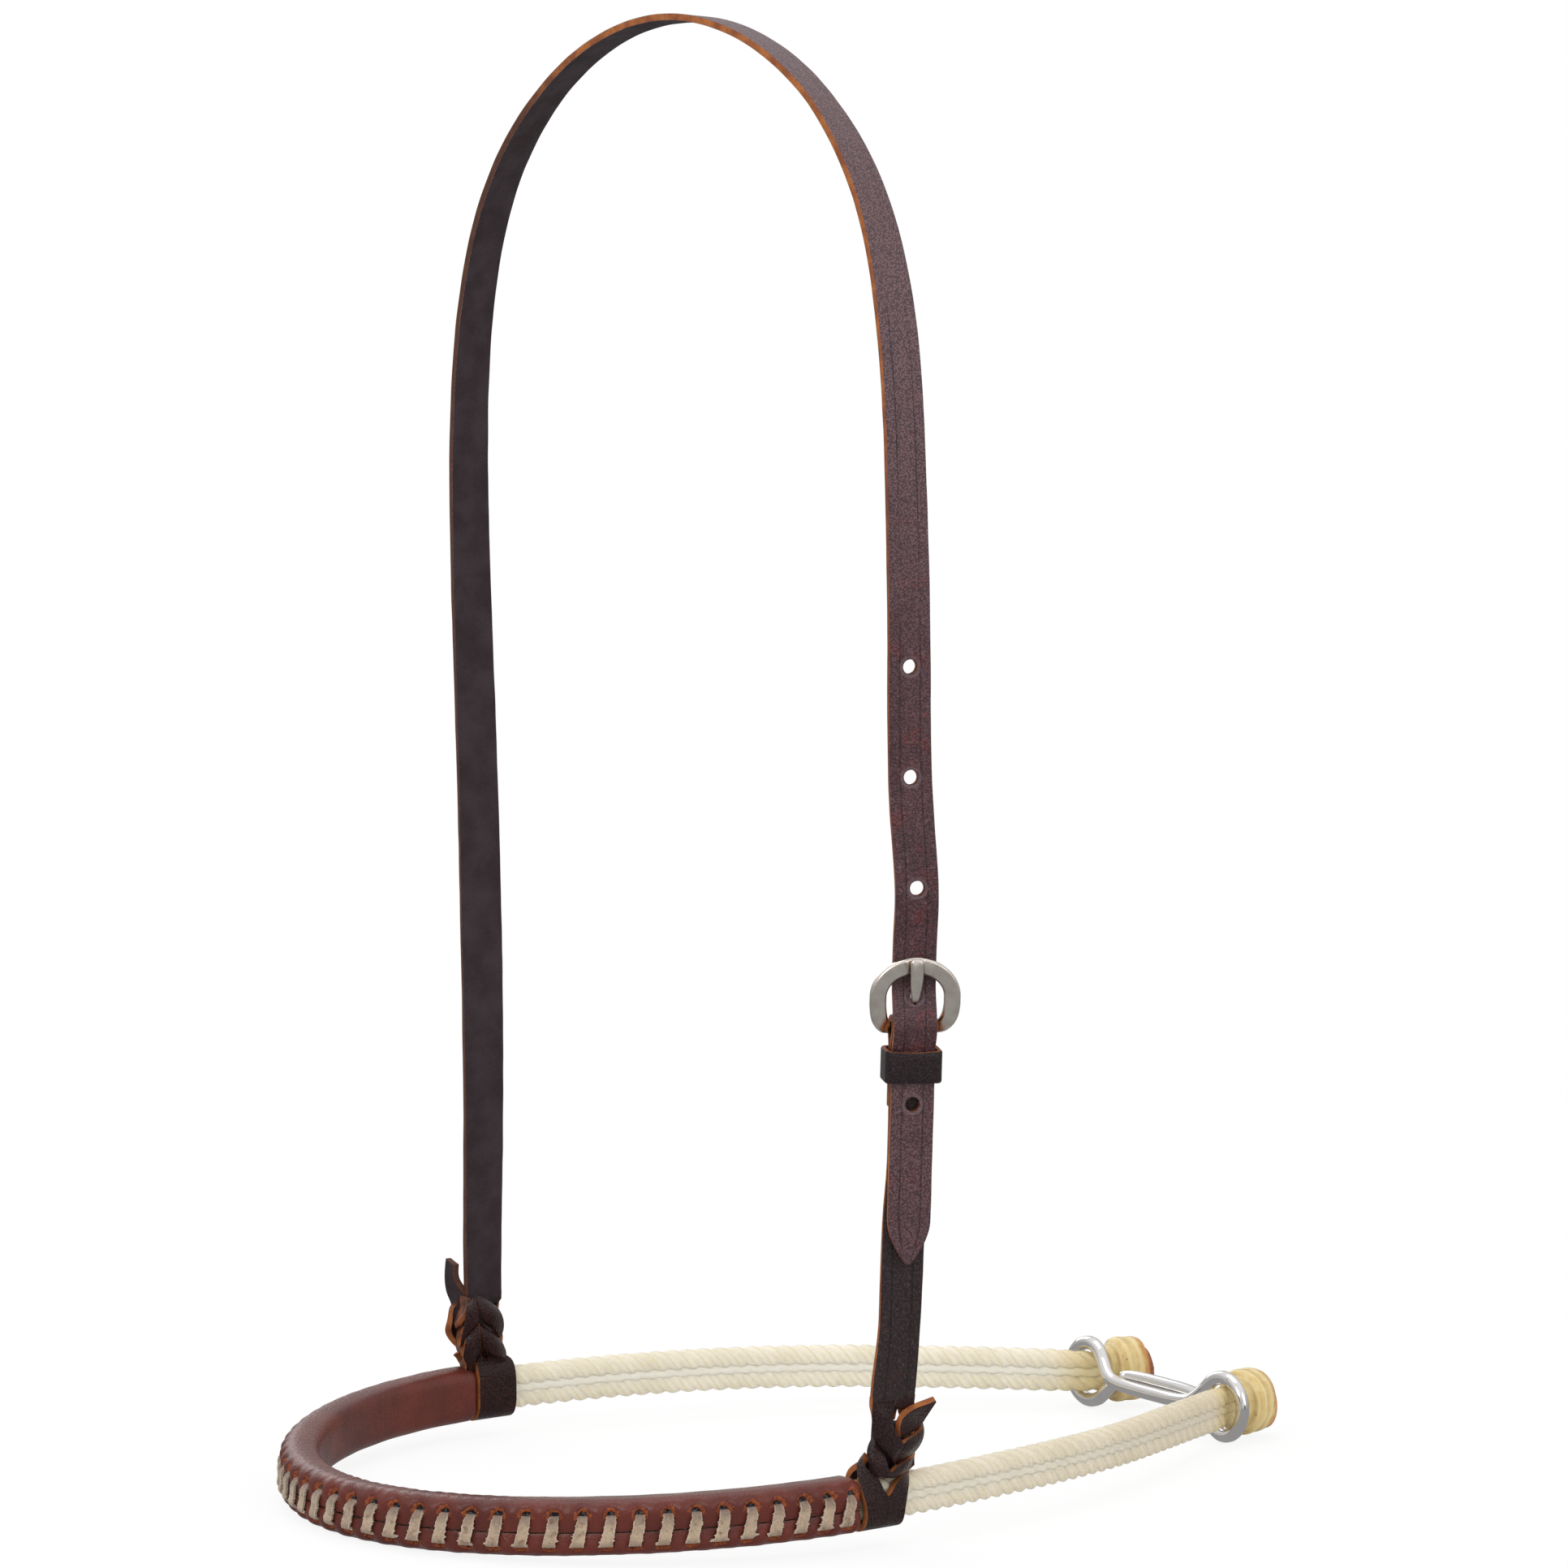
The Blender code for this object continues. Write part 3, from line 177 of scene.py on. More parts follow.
# %% [markdown]
# One method makes every node: it is told the node's type, its settings, and the values or
# links of its sockets. A finish is a node tree that ends in one shader. What is the same all
# over goes on the shader's own sockets, and what varies is linked in by `wear`.


# %% Node trees and finishes
class Nodes:
    """A node tree in which one method makes every node."""

    PLACES = ("ShaderNodeTexCoord", "ShaderNodeVectorMath", "ShaderNodeCombineXYZ")

    def __init__(self, tree):
        self.tree = tree

    def feed(self, node, socket, pattern):
        self.tree.links.new(pattern.socket, node.inputs[socket])

    def node(self, kind, settings=None, values=None, output=0):
        made = self.tree.nodes.new(kind)
        for key, value in (settings or {}).items():
            setattr(made, key, value)
        for key, value in (values or {}).items():
            if isinstance(value, Pattern):
                self.feed(made, key, value)
            else:
                made.inputs[key].default_value = value
        return (Place if kind in self.PLACES else Pattern)(self, made.outputs[output])

    def ray(self, kind):
        """1 for light rays of one kind, and 0 for all others."""
        return self.node("ShaderNodeLightPath", output=f"Is {kind} Ray")

    def seen(self):
        """1 where the camera looks, also through something clear."""
        return self.ray("Camera").larger(self.ray("Transmission"))


class Finish(Nodes):
    """One material, built from nodes around its own shader."""

    def __init__(self, name, **fixed):
        self.material = bpy.data.materials.new(name)
        self.material.use_nodes = True
        super().__init__(self.material.node_tree)
        self.shader = self.tree.nodes["Principled BSDF"]
        for socket, value in fixed.items():
            self.shader.inputs[socket.replace("_", " ")].default_value = value
        self.surface = self.node("ShaderNodeTexCoord", output="Object").times(1 / MM)

    def own_map(self):
        """The piece's own map: across it and along it."""
        return self.node("ShaderNodeTexCoord", output="UV")

    def painted(self, name):
        """A number that is kept with the piece's corners."""
        return self.node("ShaderNodeAttribute", {"attribute_name": name}, {}, "Fac")

    def flat_place(self, across, along):
        return self.node("ShaderNodeCombineXYZ", {}, {0: across, 1: along, 2: 0.0})

    def noise(self, scale, place=None, detail=3.0, roughness=0.55):
        values = {"Vector": place or self.surface, "Scale": scale, "Detail": detail, "Roughness": roughness}
        return self.node("ShaderNodeTexNoise", {}, values)

    def pebble(self, scale):
        return self.node("ShaderNodeTexVoronoi", {"feature": "F1"}, {"Vector": self.surface, "Scale": scale})

    def blend(self, share, first, second):
        """First colour where the share is 0, second where it is 1."""
        colours = [value if isinstance(value, Pattern) else (*value, 1.0) for value in (first, second)]
        values = {0: share, 6: colours[0], 7: colours[1]}
        return self.node("ShaderNodeMix", {"data_type": "RGBA"}, values, output=2)

    def coats(self, colour, *layers):
        """A colour under layers, each a share and a colour."""
        for share, layer in layers:
            colour = self.blend(share, colour, layer)
        return colour

    def wear(self, colour, roughness=None, relief=None):
        """Links what varies; the relief is a height in millimetres."""
        if relief is not None:
            relief = self.node("ShaderNodeBump", {}, {"Height": relief, "Strength": 1.0, "Distance": MM})
        for socket, pattern in (("Base Color", colour), ("Roughness", roughness), ("Normal", relief)):
            if pattern is not None:
                self.feed(self.shader, socket, pattern)
        print("finish", self.material.name, "nodes", len(self.tree.nodes))


print("finishes can be made")

# %% [markdown]
# ## Light and floor
# The noseband was photographed on white. A world that is white for the camera and dimmer for
# everything else gives that, so the leather keeps its colour instead of a grey haze. In
# reflections the world is darker low down than overhead, which gives the steel its shape.

# %% World that is white for the camera
SOFT_LIGHT = 0.74
IN_REFLECTIONS = 0.46
OVERHEAD = 0.92
DARK_BELOW = 0.15
BRIGHT_ABOVE = 0.75
WHITE = (1.0, 1.0, 1.0, 1.0)

world = bpy.data.worlds.new("white_room")
bpy.context.scene.world = world
world.use_nodes = True
room = Nodes(world.node_tree)
upwards = room.node("ShaderNodeTexCoord", output="Generated").part(2)
overhead = upwards.evenly(IN_REFLECTIONS, OVERHEAD, DARK_BELOW, BRIGHT_ABOVE)
reflected = room.ray("Glossy").evenly(SOFT_LIGHT, overhead)
background = room.tree.nodes["Background"]
background.inputs["Color"].default_value = WHITE
room.feed(background, "Strength", room.seen().evenly(reflected, 1.0))
print("world nodes", len(room.tree.nodes))

# %% [markdown]
# Soft area lamps add direction, and long lights on the steel. Three cards that only
# reflections see do the rest, as flags do in a studio: two black ones draw dark lines on the
# steel, and a white one lights the buckle's flat face.

# %% Lamps and cards
MIDDLE = (0.0, 0.15, 0.15)
CARD_BLACK = (0.02, 0.02, 0.02, 1.0)


def deselect():
    bpy.ops.object.select_all(action="DESELECT")


def aimed(place, aim):
    """The turn that makes -Z look from the place at the aim."""
    return (Vector(aim) - Vector(place)).to_track_quat("-Z", "Y")


def add_lamp(name, place, aim, size, power):
    lamp_data = bpy.data.lights.new(name, "AREA")
    lamp_data.shape = "SQUARE"
    lamp_data.size = size
    lamp_data.energy = power
    lamp = bpy.data.objects.new(name, lamp_data)
    bpy.context.scene.collection.objects.link(lamp)
    lamp.location = place
    lamp.rotation_euler = aimed(place, aim).to_euler()


def add_card(name, place, size, shine=0.0):
    """A card that only reflections see: black, or white when it has a shine."""
    deselect()
    bpy.ops.mesh.primitive_plane_add(size=size)
    card = bpy.context.object
    card.name = name
    card.data.transform(Matrix.Translation(place) @ aimed(place, MIDDLE).to_matrix().to_4x4())
    paper = Finish(name, Base_Color=CARD_BLACK, Roughness=1.0, Emission_Color=WHITE, Emission_Strength=shine)
    card.data.materials.append(paper.material)
    card.visible_camera = False
    card.visible_diffuse = False
    card.visible_shadow = False
    card.visible_transmission = False


add_lamp("key_left", (0.9, -1.5, 1.5), MIDDLE, 0.9, 15.0)
add_lamp("fill_right", (1.7, 0.7, 0.9), MIDDLE, 1.2, 5.0)
add_lamp("top", (-0.3, 0.2, 1.8), MIDDLE, 1.2, 8.0)
add_lamp("window_left", (-1.6, 0.5, 0.8), (-0.05, 0.05, 0.0), 0.9, 4.0)
add_card("white_card", (2.3, -0.75, 0.45), 0.55, 0.95)
add_card("dark_card_right", (2.2, 0.5, 0.2), 0.7)
add_card("dark_card_left", (0.9, -2.4, 0.7), 0.8)
print("lamps", len(bpy.data.lights))

# %% [markdown]
# The floor is one pale disc. For the camera most of it is a glow, and all of it towards the
# rim, so it runs into the white of the world without an edge and still shows the shadow.

# %% Pale floor
FLOOR_RADIUS = 7.0
FLOOR_BELOW = 0.0003
FLOOR_FADE = (300.0, 800.0)
FLOOR_GLOW = 0.88
FLOOR_IN_REFLECTIONS = 0.34

deselect()
bpy.ops.mesh.primitive_circle_add(vertices=96, radius=FLOOR_RADIUS, fill_type="NGON")
floor = bpy.context.object
floor.name = "pale_floor"
floor.data.transform(Matrix.Translation((0.0, MIDDLE[1], -FLOOR_BELOW)))

pale = Finish("pale_floor", Base_Color=(0.90, 0.90, 0.90, 1.0), Roughness=0.9, Specular_IOR_Level=0.0)
across_floor = pale.surface.part(0)
along_floor = pale.surface.part(1) - MIDDLE[1] / MM
far_out = (across_floor * across_floor + along_floor * along_floor).root().step(*FLOOR_FADE)
glow = pale.node("ShaderNodeEmission", {}, {"Color": WHITE, "Strength": 1.0})
dusk = pale.node("ShaderNodeEmission", {}, {"Color": WHITE, "Strength": FLOOR_IN_REFLECTIONS})
lit_floor = Pattern(pale, pale.shader.outputs[0])
plain = pale.node("ShaderNodeMixShader", {}, {0: pale.ray("Glossy"), 1: lit_floor, 2: dusk})
by_eye = pale.seen() * (far_out * (1 - FLOOR_GLOW) + FLOOR_GLOW)
mixed = pale.node("ShaderNodeMixShader", {}, {0: by_eye, 1: plain, 2: glow})
pale.feed(pale.tree.nodes["Material Output"], "Surface", mixed)
floor.data.materials.append(pale.material)
print("floor radius in m", FLOOR_RADIUS)

# %% [markdown]
# ## The lines that the noseband is built on
# Everything hangs on two lines: the plan of the rope round the nose, and the run of the strap
# over the poll. They are the CAD model's own lines, written again here because the frame gives
# solids and not lines. A natural cubic spline bends as a held rope or strap does.


# %% Smooth lines
def unit(vector):
    return vector / np.linalg.norm(vector)


def clamp(value):
    return min(1.0, max(0.0, value))


def ease(share):
    """Starts and ends gently between 0 and 1."""
    share = clamp(share)
    return share * share * (3 - 2 * share)


def swollen(value, power):
    """A power that keeps the sign; below 1 it makes a circle squarer."""
    return math.copysign(abs(value) ** power, value)


def reach_along(points):
    """Length from the first point to each point of a line."""
    return np.concatenate([[0.0], np.cumsum(np.linalg.norm(np.diff(points, axis=0), axis=1))])


def natural_spline(points, count):
    """Points at even steps along a natural cubic spline through the given points."""
    knots = np.array(points, dtype=float)
    place = reach_along(knots)
    size = len(knots)
    matrix = np.eye(size)
    wanted = np.zeros_like(knots)
    for row in range(1, size - 1):
        before = place[row] - place[row - 1]
        after = place[row + 1] - place[row]
        matrix[row, row - 1 : row + 2] = before, 2 * (before + after), after
        wanted[row] = 6 * ((knots[row + 1] - knots[row]) / after - (knots[row] - knots[row - 1]) / before)
    bend = np.linalg.solve(matrix, wanted)
    values = np.linspace(0.0, place[-1], count)
    cell = np.clip(np.searchsorted(place, values) - 1, 0, size - 2)
    width = (place[cell + 1] - place[cell])[:, None]
    left = (place[cell + 1][:, None] - values[:, None]) / width
    ahead = (values[:, None] - place[cell][:, None]) / width
    straight = left * knots[cell] + ahead * knots[cell + 1]
    curved = (left**3 - left) * bend[cell] + (ahead**3 - ahead) * bend[cell + 1]
    return straight + curved * width**2 / 6


class Route:
    """A smooth line that can be read by its length."""

    STEP = 0.6

    def __init__(self, points, samples=1600):
        self.line = natural_spline(points, samples)
        self.reach = reach_along(self.line)
        self.length = self.reach[-1]

    def at(self, distance):
        return np.array([np.interp(distance, self.reach, column) for column in self.line.T])

    def near(self, point):
        """Length at which the line passes closest to a point."""
        return float(self.reach[int(np.argmin(np.linalg.norm(self.line - point, axis=1)))])

    def tangent(self, distance):
        return unit(self.at(min(distance + self.STEP, self.length)) - self.at(max(distance - self.STEP, 0.0)))


print("splines are ready")

# %% [markdown]
# The rope's line is read by its length from the middle of the nose, negative on the far side,
# because stitches, wraps and strands are all spaced along the rope. Past the chin link's eyes
# it runs on straight, into the melted ends.

# %% The line midway between the two ropes
PLAN_POINTS = [
    (38.2, 10.2), (68.5, 36.0), (87.8, 70.8), (94.7, 110.0),
    (91.4, 149.9), (83.3, 189.0), (70.3, 226.8), (52.1, 262.4),
]
EYE_HALF_SPACING = 32.5
EYE_BEHIND_NOSE = 298.0
EYE_LIFT = 10.95
HANGER_ALONG_ROPE = 167.6
HANGER_LIFT = 13.7
COVER_HALF_HEIGHT = 8.15
UP = np.array([0.0, 0.0, 1.0])


class Noseband:
    """The line midway between the two ropes, read by signed length from the nose."""

    def __init__(self):
        half = PLAN_POINTS + [(EYE_HALF_SPACING, EYE_BEHIND_NOSE)]
        self.plan = Route([(-across, back) for across, back in reversed(half)] + [(0.0, 0.0)] + half)
        self.middle = self.plan.length / 2
        self.hanger_back = self.plan.at(self.middle + HANGER_ALONG_ROPE)[1]
        self.known = {}

    def lift(self, back):
        """Height of the line: a smooth sag through nose, hanger and eye."""
        heights = {0.0: COVER_HALF_HEIGHT, self.hanger_back: HANGER_LIFT, EYE_BEHIND_NOSE: EYE_LIFT}
        total = 0.0
        for place, height in heights.items():
            for other in heights:
                if other != place:
                    height *= (back - other) / (place - other)
            total += height
        return total

    def past_eye(self, side):
        run = self.plan.tangent(self.middle * (1 + side)) * side
        away = unit(run + np.array([0.0, 1.0]))
        return np.array([away[0], away[1], 0.0])

    def at(self, along):
        inside = max(-self.middle, min(along, self.middle))
        flat = self.plan.at(self.middle + inside)
        point = np.array([flat[0], flat[1], self.lift(flat[1])])
        if along != inside:
            point = point + self.past_eye(math.copysign(1.0, along)) * abs(along - inside)
        return point

    def frame(self, along):
        """Place, direction of travel, outward side and up."""
        key = round(along, 4)
        if key not in self.known:
            ahead = unit(self.at(along + Route.STEP) - self.at(along - Route.STEP))
            outward = unit(np.cross(ahead, UP))
            self.known[key] = (self.at(along), ahead, outward, np.cross(outward, ahead))
        return self.known[key]


noseband = Noseband()
print("rope line, half length in mm", round(noseband.middle, 1))

# %% [markdown]
# The hanger's two straps are ribbons of leather. A ribbon needs the direction of its width as
# well as its middle line, so each point of the line carries a twist.


# %% Ribbons of leather
class Ribbon:
    """A flat strap's middle line with the direction of its width at every length."""

    def __init__(self, points, sides):
        self.route = Route(points, 2400)
        self.marks = [self.route.near(point) for point in points]
        self.sides = np.array(sides)
        self.known = {}

    def frame(self, distance):
        """Middle, direction of travel, width direction and grain side."""
        key = round(distance, 4)
        if key not in self.known:
            ahead = self.route.tangent(distance)
            side = np.array([np.interp(distance, self.marks, column) for column in self.sides.T])
            side = unit(side - ahead * np.dot(side, ahead))
            self.known[key] = (self.route.at(distance), ahead, side, np.cross(ahead, side))
        return self.known[key]


class StrapPlane:
    """The nearly upright plane in which the hanger strap hangs."""

    LEAN = math.radians(1.0)

    def __init__(self):
        self.base = np.array([0.0, noseband.hanger_back, HANGER_LIFT])
        self.across = np.array([1.0, 0.0, 0.0])
        self.rise = np.array([0.0, -math.sin(self.LEAN), math.cos(self.LEAN)])
        self.normal = np.cross(self.rise, self.across)

    def at(self, across, height):
        return self.base + self.across * across + self.rise * height

    def twisted_sides(self, points, twists):
        route = Route(points)
        sides = []
        for point, twist in zip(points, np.radians(twists)):
            outward = np.cross(route.tangent(route.near(point)), self.normal)
            sides.append(self.normal * math.cos(twist) + outward * math.sin(twist))
        return sides


plane = StrapPlane()
print("strap plane stands at", [round(float(value), 1) for value in plane.base])

# %% The buckle's own axes
BUCKLE_ACROSS = 111.5
BUCKLE_ABOVE_HANGER = 139.2
BUCKLE_LEAN = math.radians(2.0)
BUCKLE_TWIST_DEG = 26.0
BAR_LEVEL = -2.5


class BuckleSeat:
    """Up the strap, across it, and out from the buckle's face."""

    def __init__(self):
        twist = math.radians(BUCKLE_TWIST_DEG)
        self.rise = plane.rise * math.cos(BUCKLE_LEAN) + plane.across * math.sin(BUCKLE_LEAN)
        outward = np.cross(-self.rise, plane.normal)
        self.side = plane.normal * math.cos(twist) + outward * math.sin(twist)
        self.face = outward * math.cos(twist) - plane.normal * math.sin(twist)
        self.base = plane.at(BUCKLE_ACROSS, BUCKLE_ABOVE_HANGER)

    def at(self, height, out, side=0.0):
        return self.base + self.rise * height + self.face * out + self.side * side


seat = BuckleSeat()
print("buckle seat", [round(float(value), 1) for value in seat.base])

# %% [markdown]
# ## Sheets and tubes
# Leather is a sheet with a grain side, a rough flesh side and an undyed cut edge. So a sheet
# starts as a flat grid primitive, its corners are laid on the surface that it should follow,
# and a Solidify modifier gives it its thickness, with one material for each of the three
# sides. A Bevel rounds the cut. A tube is the same grid, closed on itself.


# %% A grid laid on a surface
def laid_grid(name, across, along, place_at):
    """A grid whose corners lie at place_at(share across, share along), in millimetres."""
    deselect()
    bpy.ops.mesh.primitive_grid_add(x_subdivisions=across, y_subdivisions=along, size=2.0)
    piece = bpy.context.object
    piece.name = name
    piece.data.name = name
    for corner in piece.data.vertices:
        point = place_at((corner.co.x + 1) / 2, (corner.co.y + 1) / 2)
        corner.co = Vector(point) * MM
    piece.data.update()
    return piece


def scale_map(piece, width, length):
    """Stretches the piece's map so that it is in millimetres."""
    layer = piece.data.uv_layers.active
    flat = np.zeros(len(layer.data) * 2, np.float32)
    layer.data.foreach_get("uv", flat)
    flat = flat.reshape(-1, 2) * np.array([width, length], np.float32)
    layer.data.foreach_set("uv", flat.ravel())


def paint(piece, name, values):
    """Keeps one number for each corner of a piece, for its finish to read."""
    attribute = piece.data.attributes.new(name, "FLOAT", "POINT")
    attribute.data.foreach_set("value", np.array(values, np.float32))


def give(piece, *finishes):
    for item in finishes:
        piece.data.materials.append(item.material)


def ripple(point, size, seed=0.0):
    """Slow unevenness, from -1 to 1, for a point in millimetres."""
    return noise.noise(Vector((point[0] / size + seed, point[1] / size, point[2] / size)))


print("grids can be laid")

# %% [markdown]
# An operator acts on everything that is selected, so one helper picks a single piece, and the
# others start with it. Modifiers are applied at once, to leave a plain mesh.

# %% Operators on one piece
WELD = 0.004


def pick(piece):
    """Makes one piece the only one that operators act on."""
    deselect()
    piece.select_set(True)
    bpy.context.view_layer.objects.active = piece


def edit_all(piece, *steps):
    """Runs edit-mode operators on the whole of one piece."""
    pick(piece)
    bpy.ops.object.mode_set(mode="EDIT")
    bpy.ops.mesh.select_all(action="SELECT")
    for step in steps:
        step()
    bpy.ops.object.mode_set(mode="OBJECT")


def face_outwards(piece):
    edit_all(piece, lambda: bpy.ops.mesh.normals_make_consistent(inside=False))


def face_towards(piece, direction):
    """Flips an open sheet when its middle face looks away from the direction."""
    faces = piece.data.polygons
    if faces[len(faces) // 2].normal.dot(Vector(direction)) < 0:
        edit_all(piece, bpy.ops.mesh.flip_normals)


def close_tube(piece, open_ends=True):
    """Joins the grid's meeting edges, fills open ends and points the faces outwards."""
    edit_all(piece, lambda: bpy.ops.mesh.remove_doubles(threshold=WELD * MM))
    if open_ends:
        edit_all(
            piece,
            lambda: bpy.ops.mesh.select_all(action="DESELECT"),
            lambda: bpy.ops.mesh.select_non_manifold(),
            lambda: bpy.ops.mesh.fill(),
        )
    face_outwards(piece)


def join(name, parts):
    deselect()
    for part in parts:
        part.select_set(True)
    bpy.context.view_layer.objects.active = parts[0]
    bpy.ops.object.join()
    parts[0].name = name
    return parts[0]


print("pieces can be edited")

# %% Modifiers, and the last touch to a piece
SHARP_CUT_DEG = 55
SOFT_EDGE_DEG = 28


def apply_all(piece):
    pick(piece)
    for modifier in list(piece.modifiers):
        bpy.ops.object.modifier_apply(modifier=modifier.name)


def round_edges(piece, width, segments, sharper_than, material=-1):
    cut = piece.modifiers.new("rounded", "BEVEL")
    cut.width = width * MM
    cut.segments = segments
    cut.limit_method = "ANGLE"
    cut.angle_limit = math.radians(sharper_than)
    cut.material = material


def soften(piece, width, segments):
    round_edges(piece, width, segments, SOFT_EDGE_DEG)
    apply_all(piece)


def thicken(piece, thickness, offset, rounding=0.0, rounded_material=-1):
    """Gives a sheet its thickness, with its flesh side and cut edge as the next two materials."""
    wall = piece.modifiers.new("thickness", "SOLIDIFY")
    wall.thickness = thickness * MM
    wall.offset = offset
    wall.material_offset = 1
    wall.material_offset_rim = 2
    if rounding:
        round_edges(piece, rounding, 2, SHARP_CUT_DEG, rounded_material)
    apply_all(piece)


def cut_away(piece, cutter):
    """Takes the cutter's shape out of a piece; the cut keeps the cutter's finish."""
    face_outwards(cutter)
    cut = piece.modifiers.new("cut", "BOOLEAN")
    cut.operation = "DIFFERENCE"
    cut.solver = "EXACT"
    cut.material_mode = "TRANSFER"
    cut.object = cutter
    apply_all(piece)
    bpy.data.objects.remove(cutter)


def finish_piece(piece, body, nodes=(), smooth_deg=50.0):
    """Shades the piece, lets it ride on its body and hides the CAD nodes that it stands for."""
    pick(piece)
    bpy.ops.object.shade_smooth_by_angle(angle=math.radians(smooth_deg))
    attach(piece, body)
    if nodes:
        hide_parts(*nodes)
    piece.data.calc_loop_triangles()
    print(piece.name, "triangles", len(piece.data.loop_triangles))


print("pieces can be finished")

# %% [markdown]
# ## Rope finish
# The rope is three-strand nylon with a waxy, nearly white skin. Its grooves are painted darker
# and yellower, partly for the wax in them and partly for their shade, and it is painted lighter
# where the two ropes press together, to fill the shade between them. It is darker and yellower
# along the near side, tan where it was melted, and painted dark just outside the sleeve, for the
# shade at the sleeve's mouth. Fine fibres run nearly straight along the rope, because the yarns
# are twisted against the strands. Colour is built up in coats, each with the share that it
# covers.

# %% Waxed rope
ROPE_LAY = 15.6
ROPE_PAST_EYE = 4.1
ROPE_HALF = noseband.middle + ROPE_PAST_EYE
WAXY = {"Subsurface_Weight": 0.6, "Subsurface_Scale": 0.003, "Subsurface_Radius": (1.0, 1.0, 1.0)}

waxed = Finish("waxed_rope", **WAXY)
around_rope = waxed.own_map().part(0)
along_rope = waxed.own_map().part(1)
groove = (around_rope * 3.0).from_repeat(1.0).step(0.16, 0.02)
fibre_turn = (around_rope + along_rope / ROPE_LAY) * 150.0
fibres = waxed.noise(1.0, waxed.flat_place(fibre_turn, along_rope * 0.5), 2.0)
wax = waxed.noise(0.8, waxed.surface.stretched((1.0, 1.0, 2.2)), 2.0)
pressed = waxed.painted("pressed")
warm_spots = waxed.noise(0.35, detail=2.0).step(0.66, 0.76) * groove
towards_end = waxed.surface.part(1)
# Darker and yellower along the near side, more so towards the link's eye.
near_side_tone = waxed.surface.part(0).step(0.0, 20.0) * (towards_end.step(150.0, 280.0) * 0.32 + 0.2)
# Painted shade in a dark band where the rope goes into the sleeve's mouth.
from_nose = (along_rope - ROPE_HALF).size()
mouth_shade = from_nose.step(157.0, 159.0) * from_nose.step(162.5, 161.0)
rope_colour = waxed.coats(
    (0.84, 0.78, 0.645),
    (waxed.noise(0.06, detail=2.0).step(0.35, 0.7), (0.76, 0.70, 0.545)),
    # Painted light where the two ropes press together, to fill the shade in the gap between them.
    (pressed.step(0.35, 0.85), (0.90, 0.85, 0.72)),
    # Painted shade down in the grooves, in a yellower tone for the wax there, less where the ropes press.
    (groove * (1 - pressed.step(0.3, 0.8)) * 0.65, (0.70, 0.61, 0.42)),
    (warm_spots * 0.6, (0.72, 0.62, 0.22)),
    (near_side_tone, (0.66, 0.55, 0.38)),
    (towards_end.step(283.0, 296.0) * 0.75, (0.72, 0.56, 0.24)),
    (mouth_shade * 0.85, (0.15, 0.12, 0.06)),
)
waxed.wear(rope_colour, fibres * 0.2 + wax * 0.16 + 0.10, fibres * 0.14 + groove * -0.16 + wax * 0.18)

# %% [markdown]
# The melted ends are the same nylon gone tan, with pale arcs about the link's eye where the
# melt set, a few pits, and a dark scorched face at the very end.

# %% Melted rope
scorched = Finish("melted_rope", **WAXY)
eye_up = scorched.surface.part(2) - EYE_LIFT
eye_out = scorched.surface.part(0).size() - EYE_HALF_SPACING
eye_back = scorched.surface.part(1) - EYE_BEHIND_NOSE
from_eye = (eye_up * eye_up + eye_out * eye_out + eye_back * eye_back).root()
arcs = ((from_eye + scorched.noise(0.15) * 1.6) * 2.3).wave()
end_clouds = scorched.noise(0.35, detail=4.0)
far_side = scorched.surface.part(0).step(-20.0, -30.0)
end_unevenness = scorched.noise(0.3, detail=3.0) * 4.0
scorch_at = eye_back * 0.97 - eye_out * 0.25 + far_side * 0.3 + 1.0 + end_unevenness
pits = scorched.noise(0.9, detail=0.0).step(0.80, 0.84)
end_colour = scorched.coats(
    (0.70, 0.55, 0.26),
    (end_clouds.step(0.3, 0.75), (0.60, 0.43, 0.16)),
    (arcs.step(-0.2, 1.0) * 0.45, (0.80, 0.67, 0.38)),
    (scorch_at.step(17.0, 19.0) * 0.85, (0.50, 0.20, 0.05)),
    (scorch_at.step(19.4, 21.2) * 0.9, (0.26, 0.075, 0.025)),
    (pits, (0.22, 0.09, 0.04)),
)
scorched.wear(end_colour, end_clouds * 0.2 + 0.26, arcs * 0.17 + end_clouds * 0.4 - pits * 0.4)

# %% [markdown]
# ## The two ropes
# A curve with a bevel would give a smooth pipe. A laid rope is three round strands that turn
# about each other, so the tube's columns are turned with the strands, and its radius is the
# outline of three overlapping circles. That keeps every groove sharp along a column. Each
# rope is squarer and smoother on the side that is pressed against the other one, and it is
# drawn in a little where it goes through the chin link's eye.

# %% Two laid ropes
ROPE_RADIUS = 3.36
ROPE_SPACING = 6.5
ROPE_COLUMNS = 30
ROPE_ROW = 0.85
ROPE_RINGS = round(2 * ROPE_HALF / ROPE_ROW)
LOWER_ROPE_PHASE = 0.21
STRAND_OFFSET = 0.33
STRAND_RADIUS = 0.67
ROPE_UNEVEN = 0.012
PRESSED_SMOOTH = 0.55
SQUARENESS = 3.0
EYE_SQUEEZE = 0.085
SQUEEZE_BEFORE_EYE = 11.0
SQUEEZE_RUN = 7.0
ROUND_SMOOTH_DEG = 80.0


def strand_reach(share):
    """Radius of the rope's outline at a share of its way round, three strands a turn."""
    turn = (share * 3 + 0.5) % 1.0 - 0.5
    angle = turn * 2 * math.pi / 3
    inside = STRAND_RADIUS**2 - (STRAND_OFFSET * math.sin(angle)) ** 2
    return ROPE_RADIUS * (STRAND_OFFSET * math.cos(angle) + math.sqrt(inside))


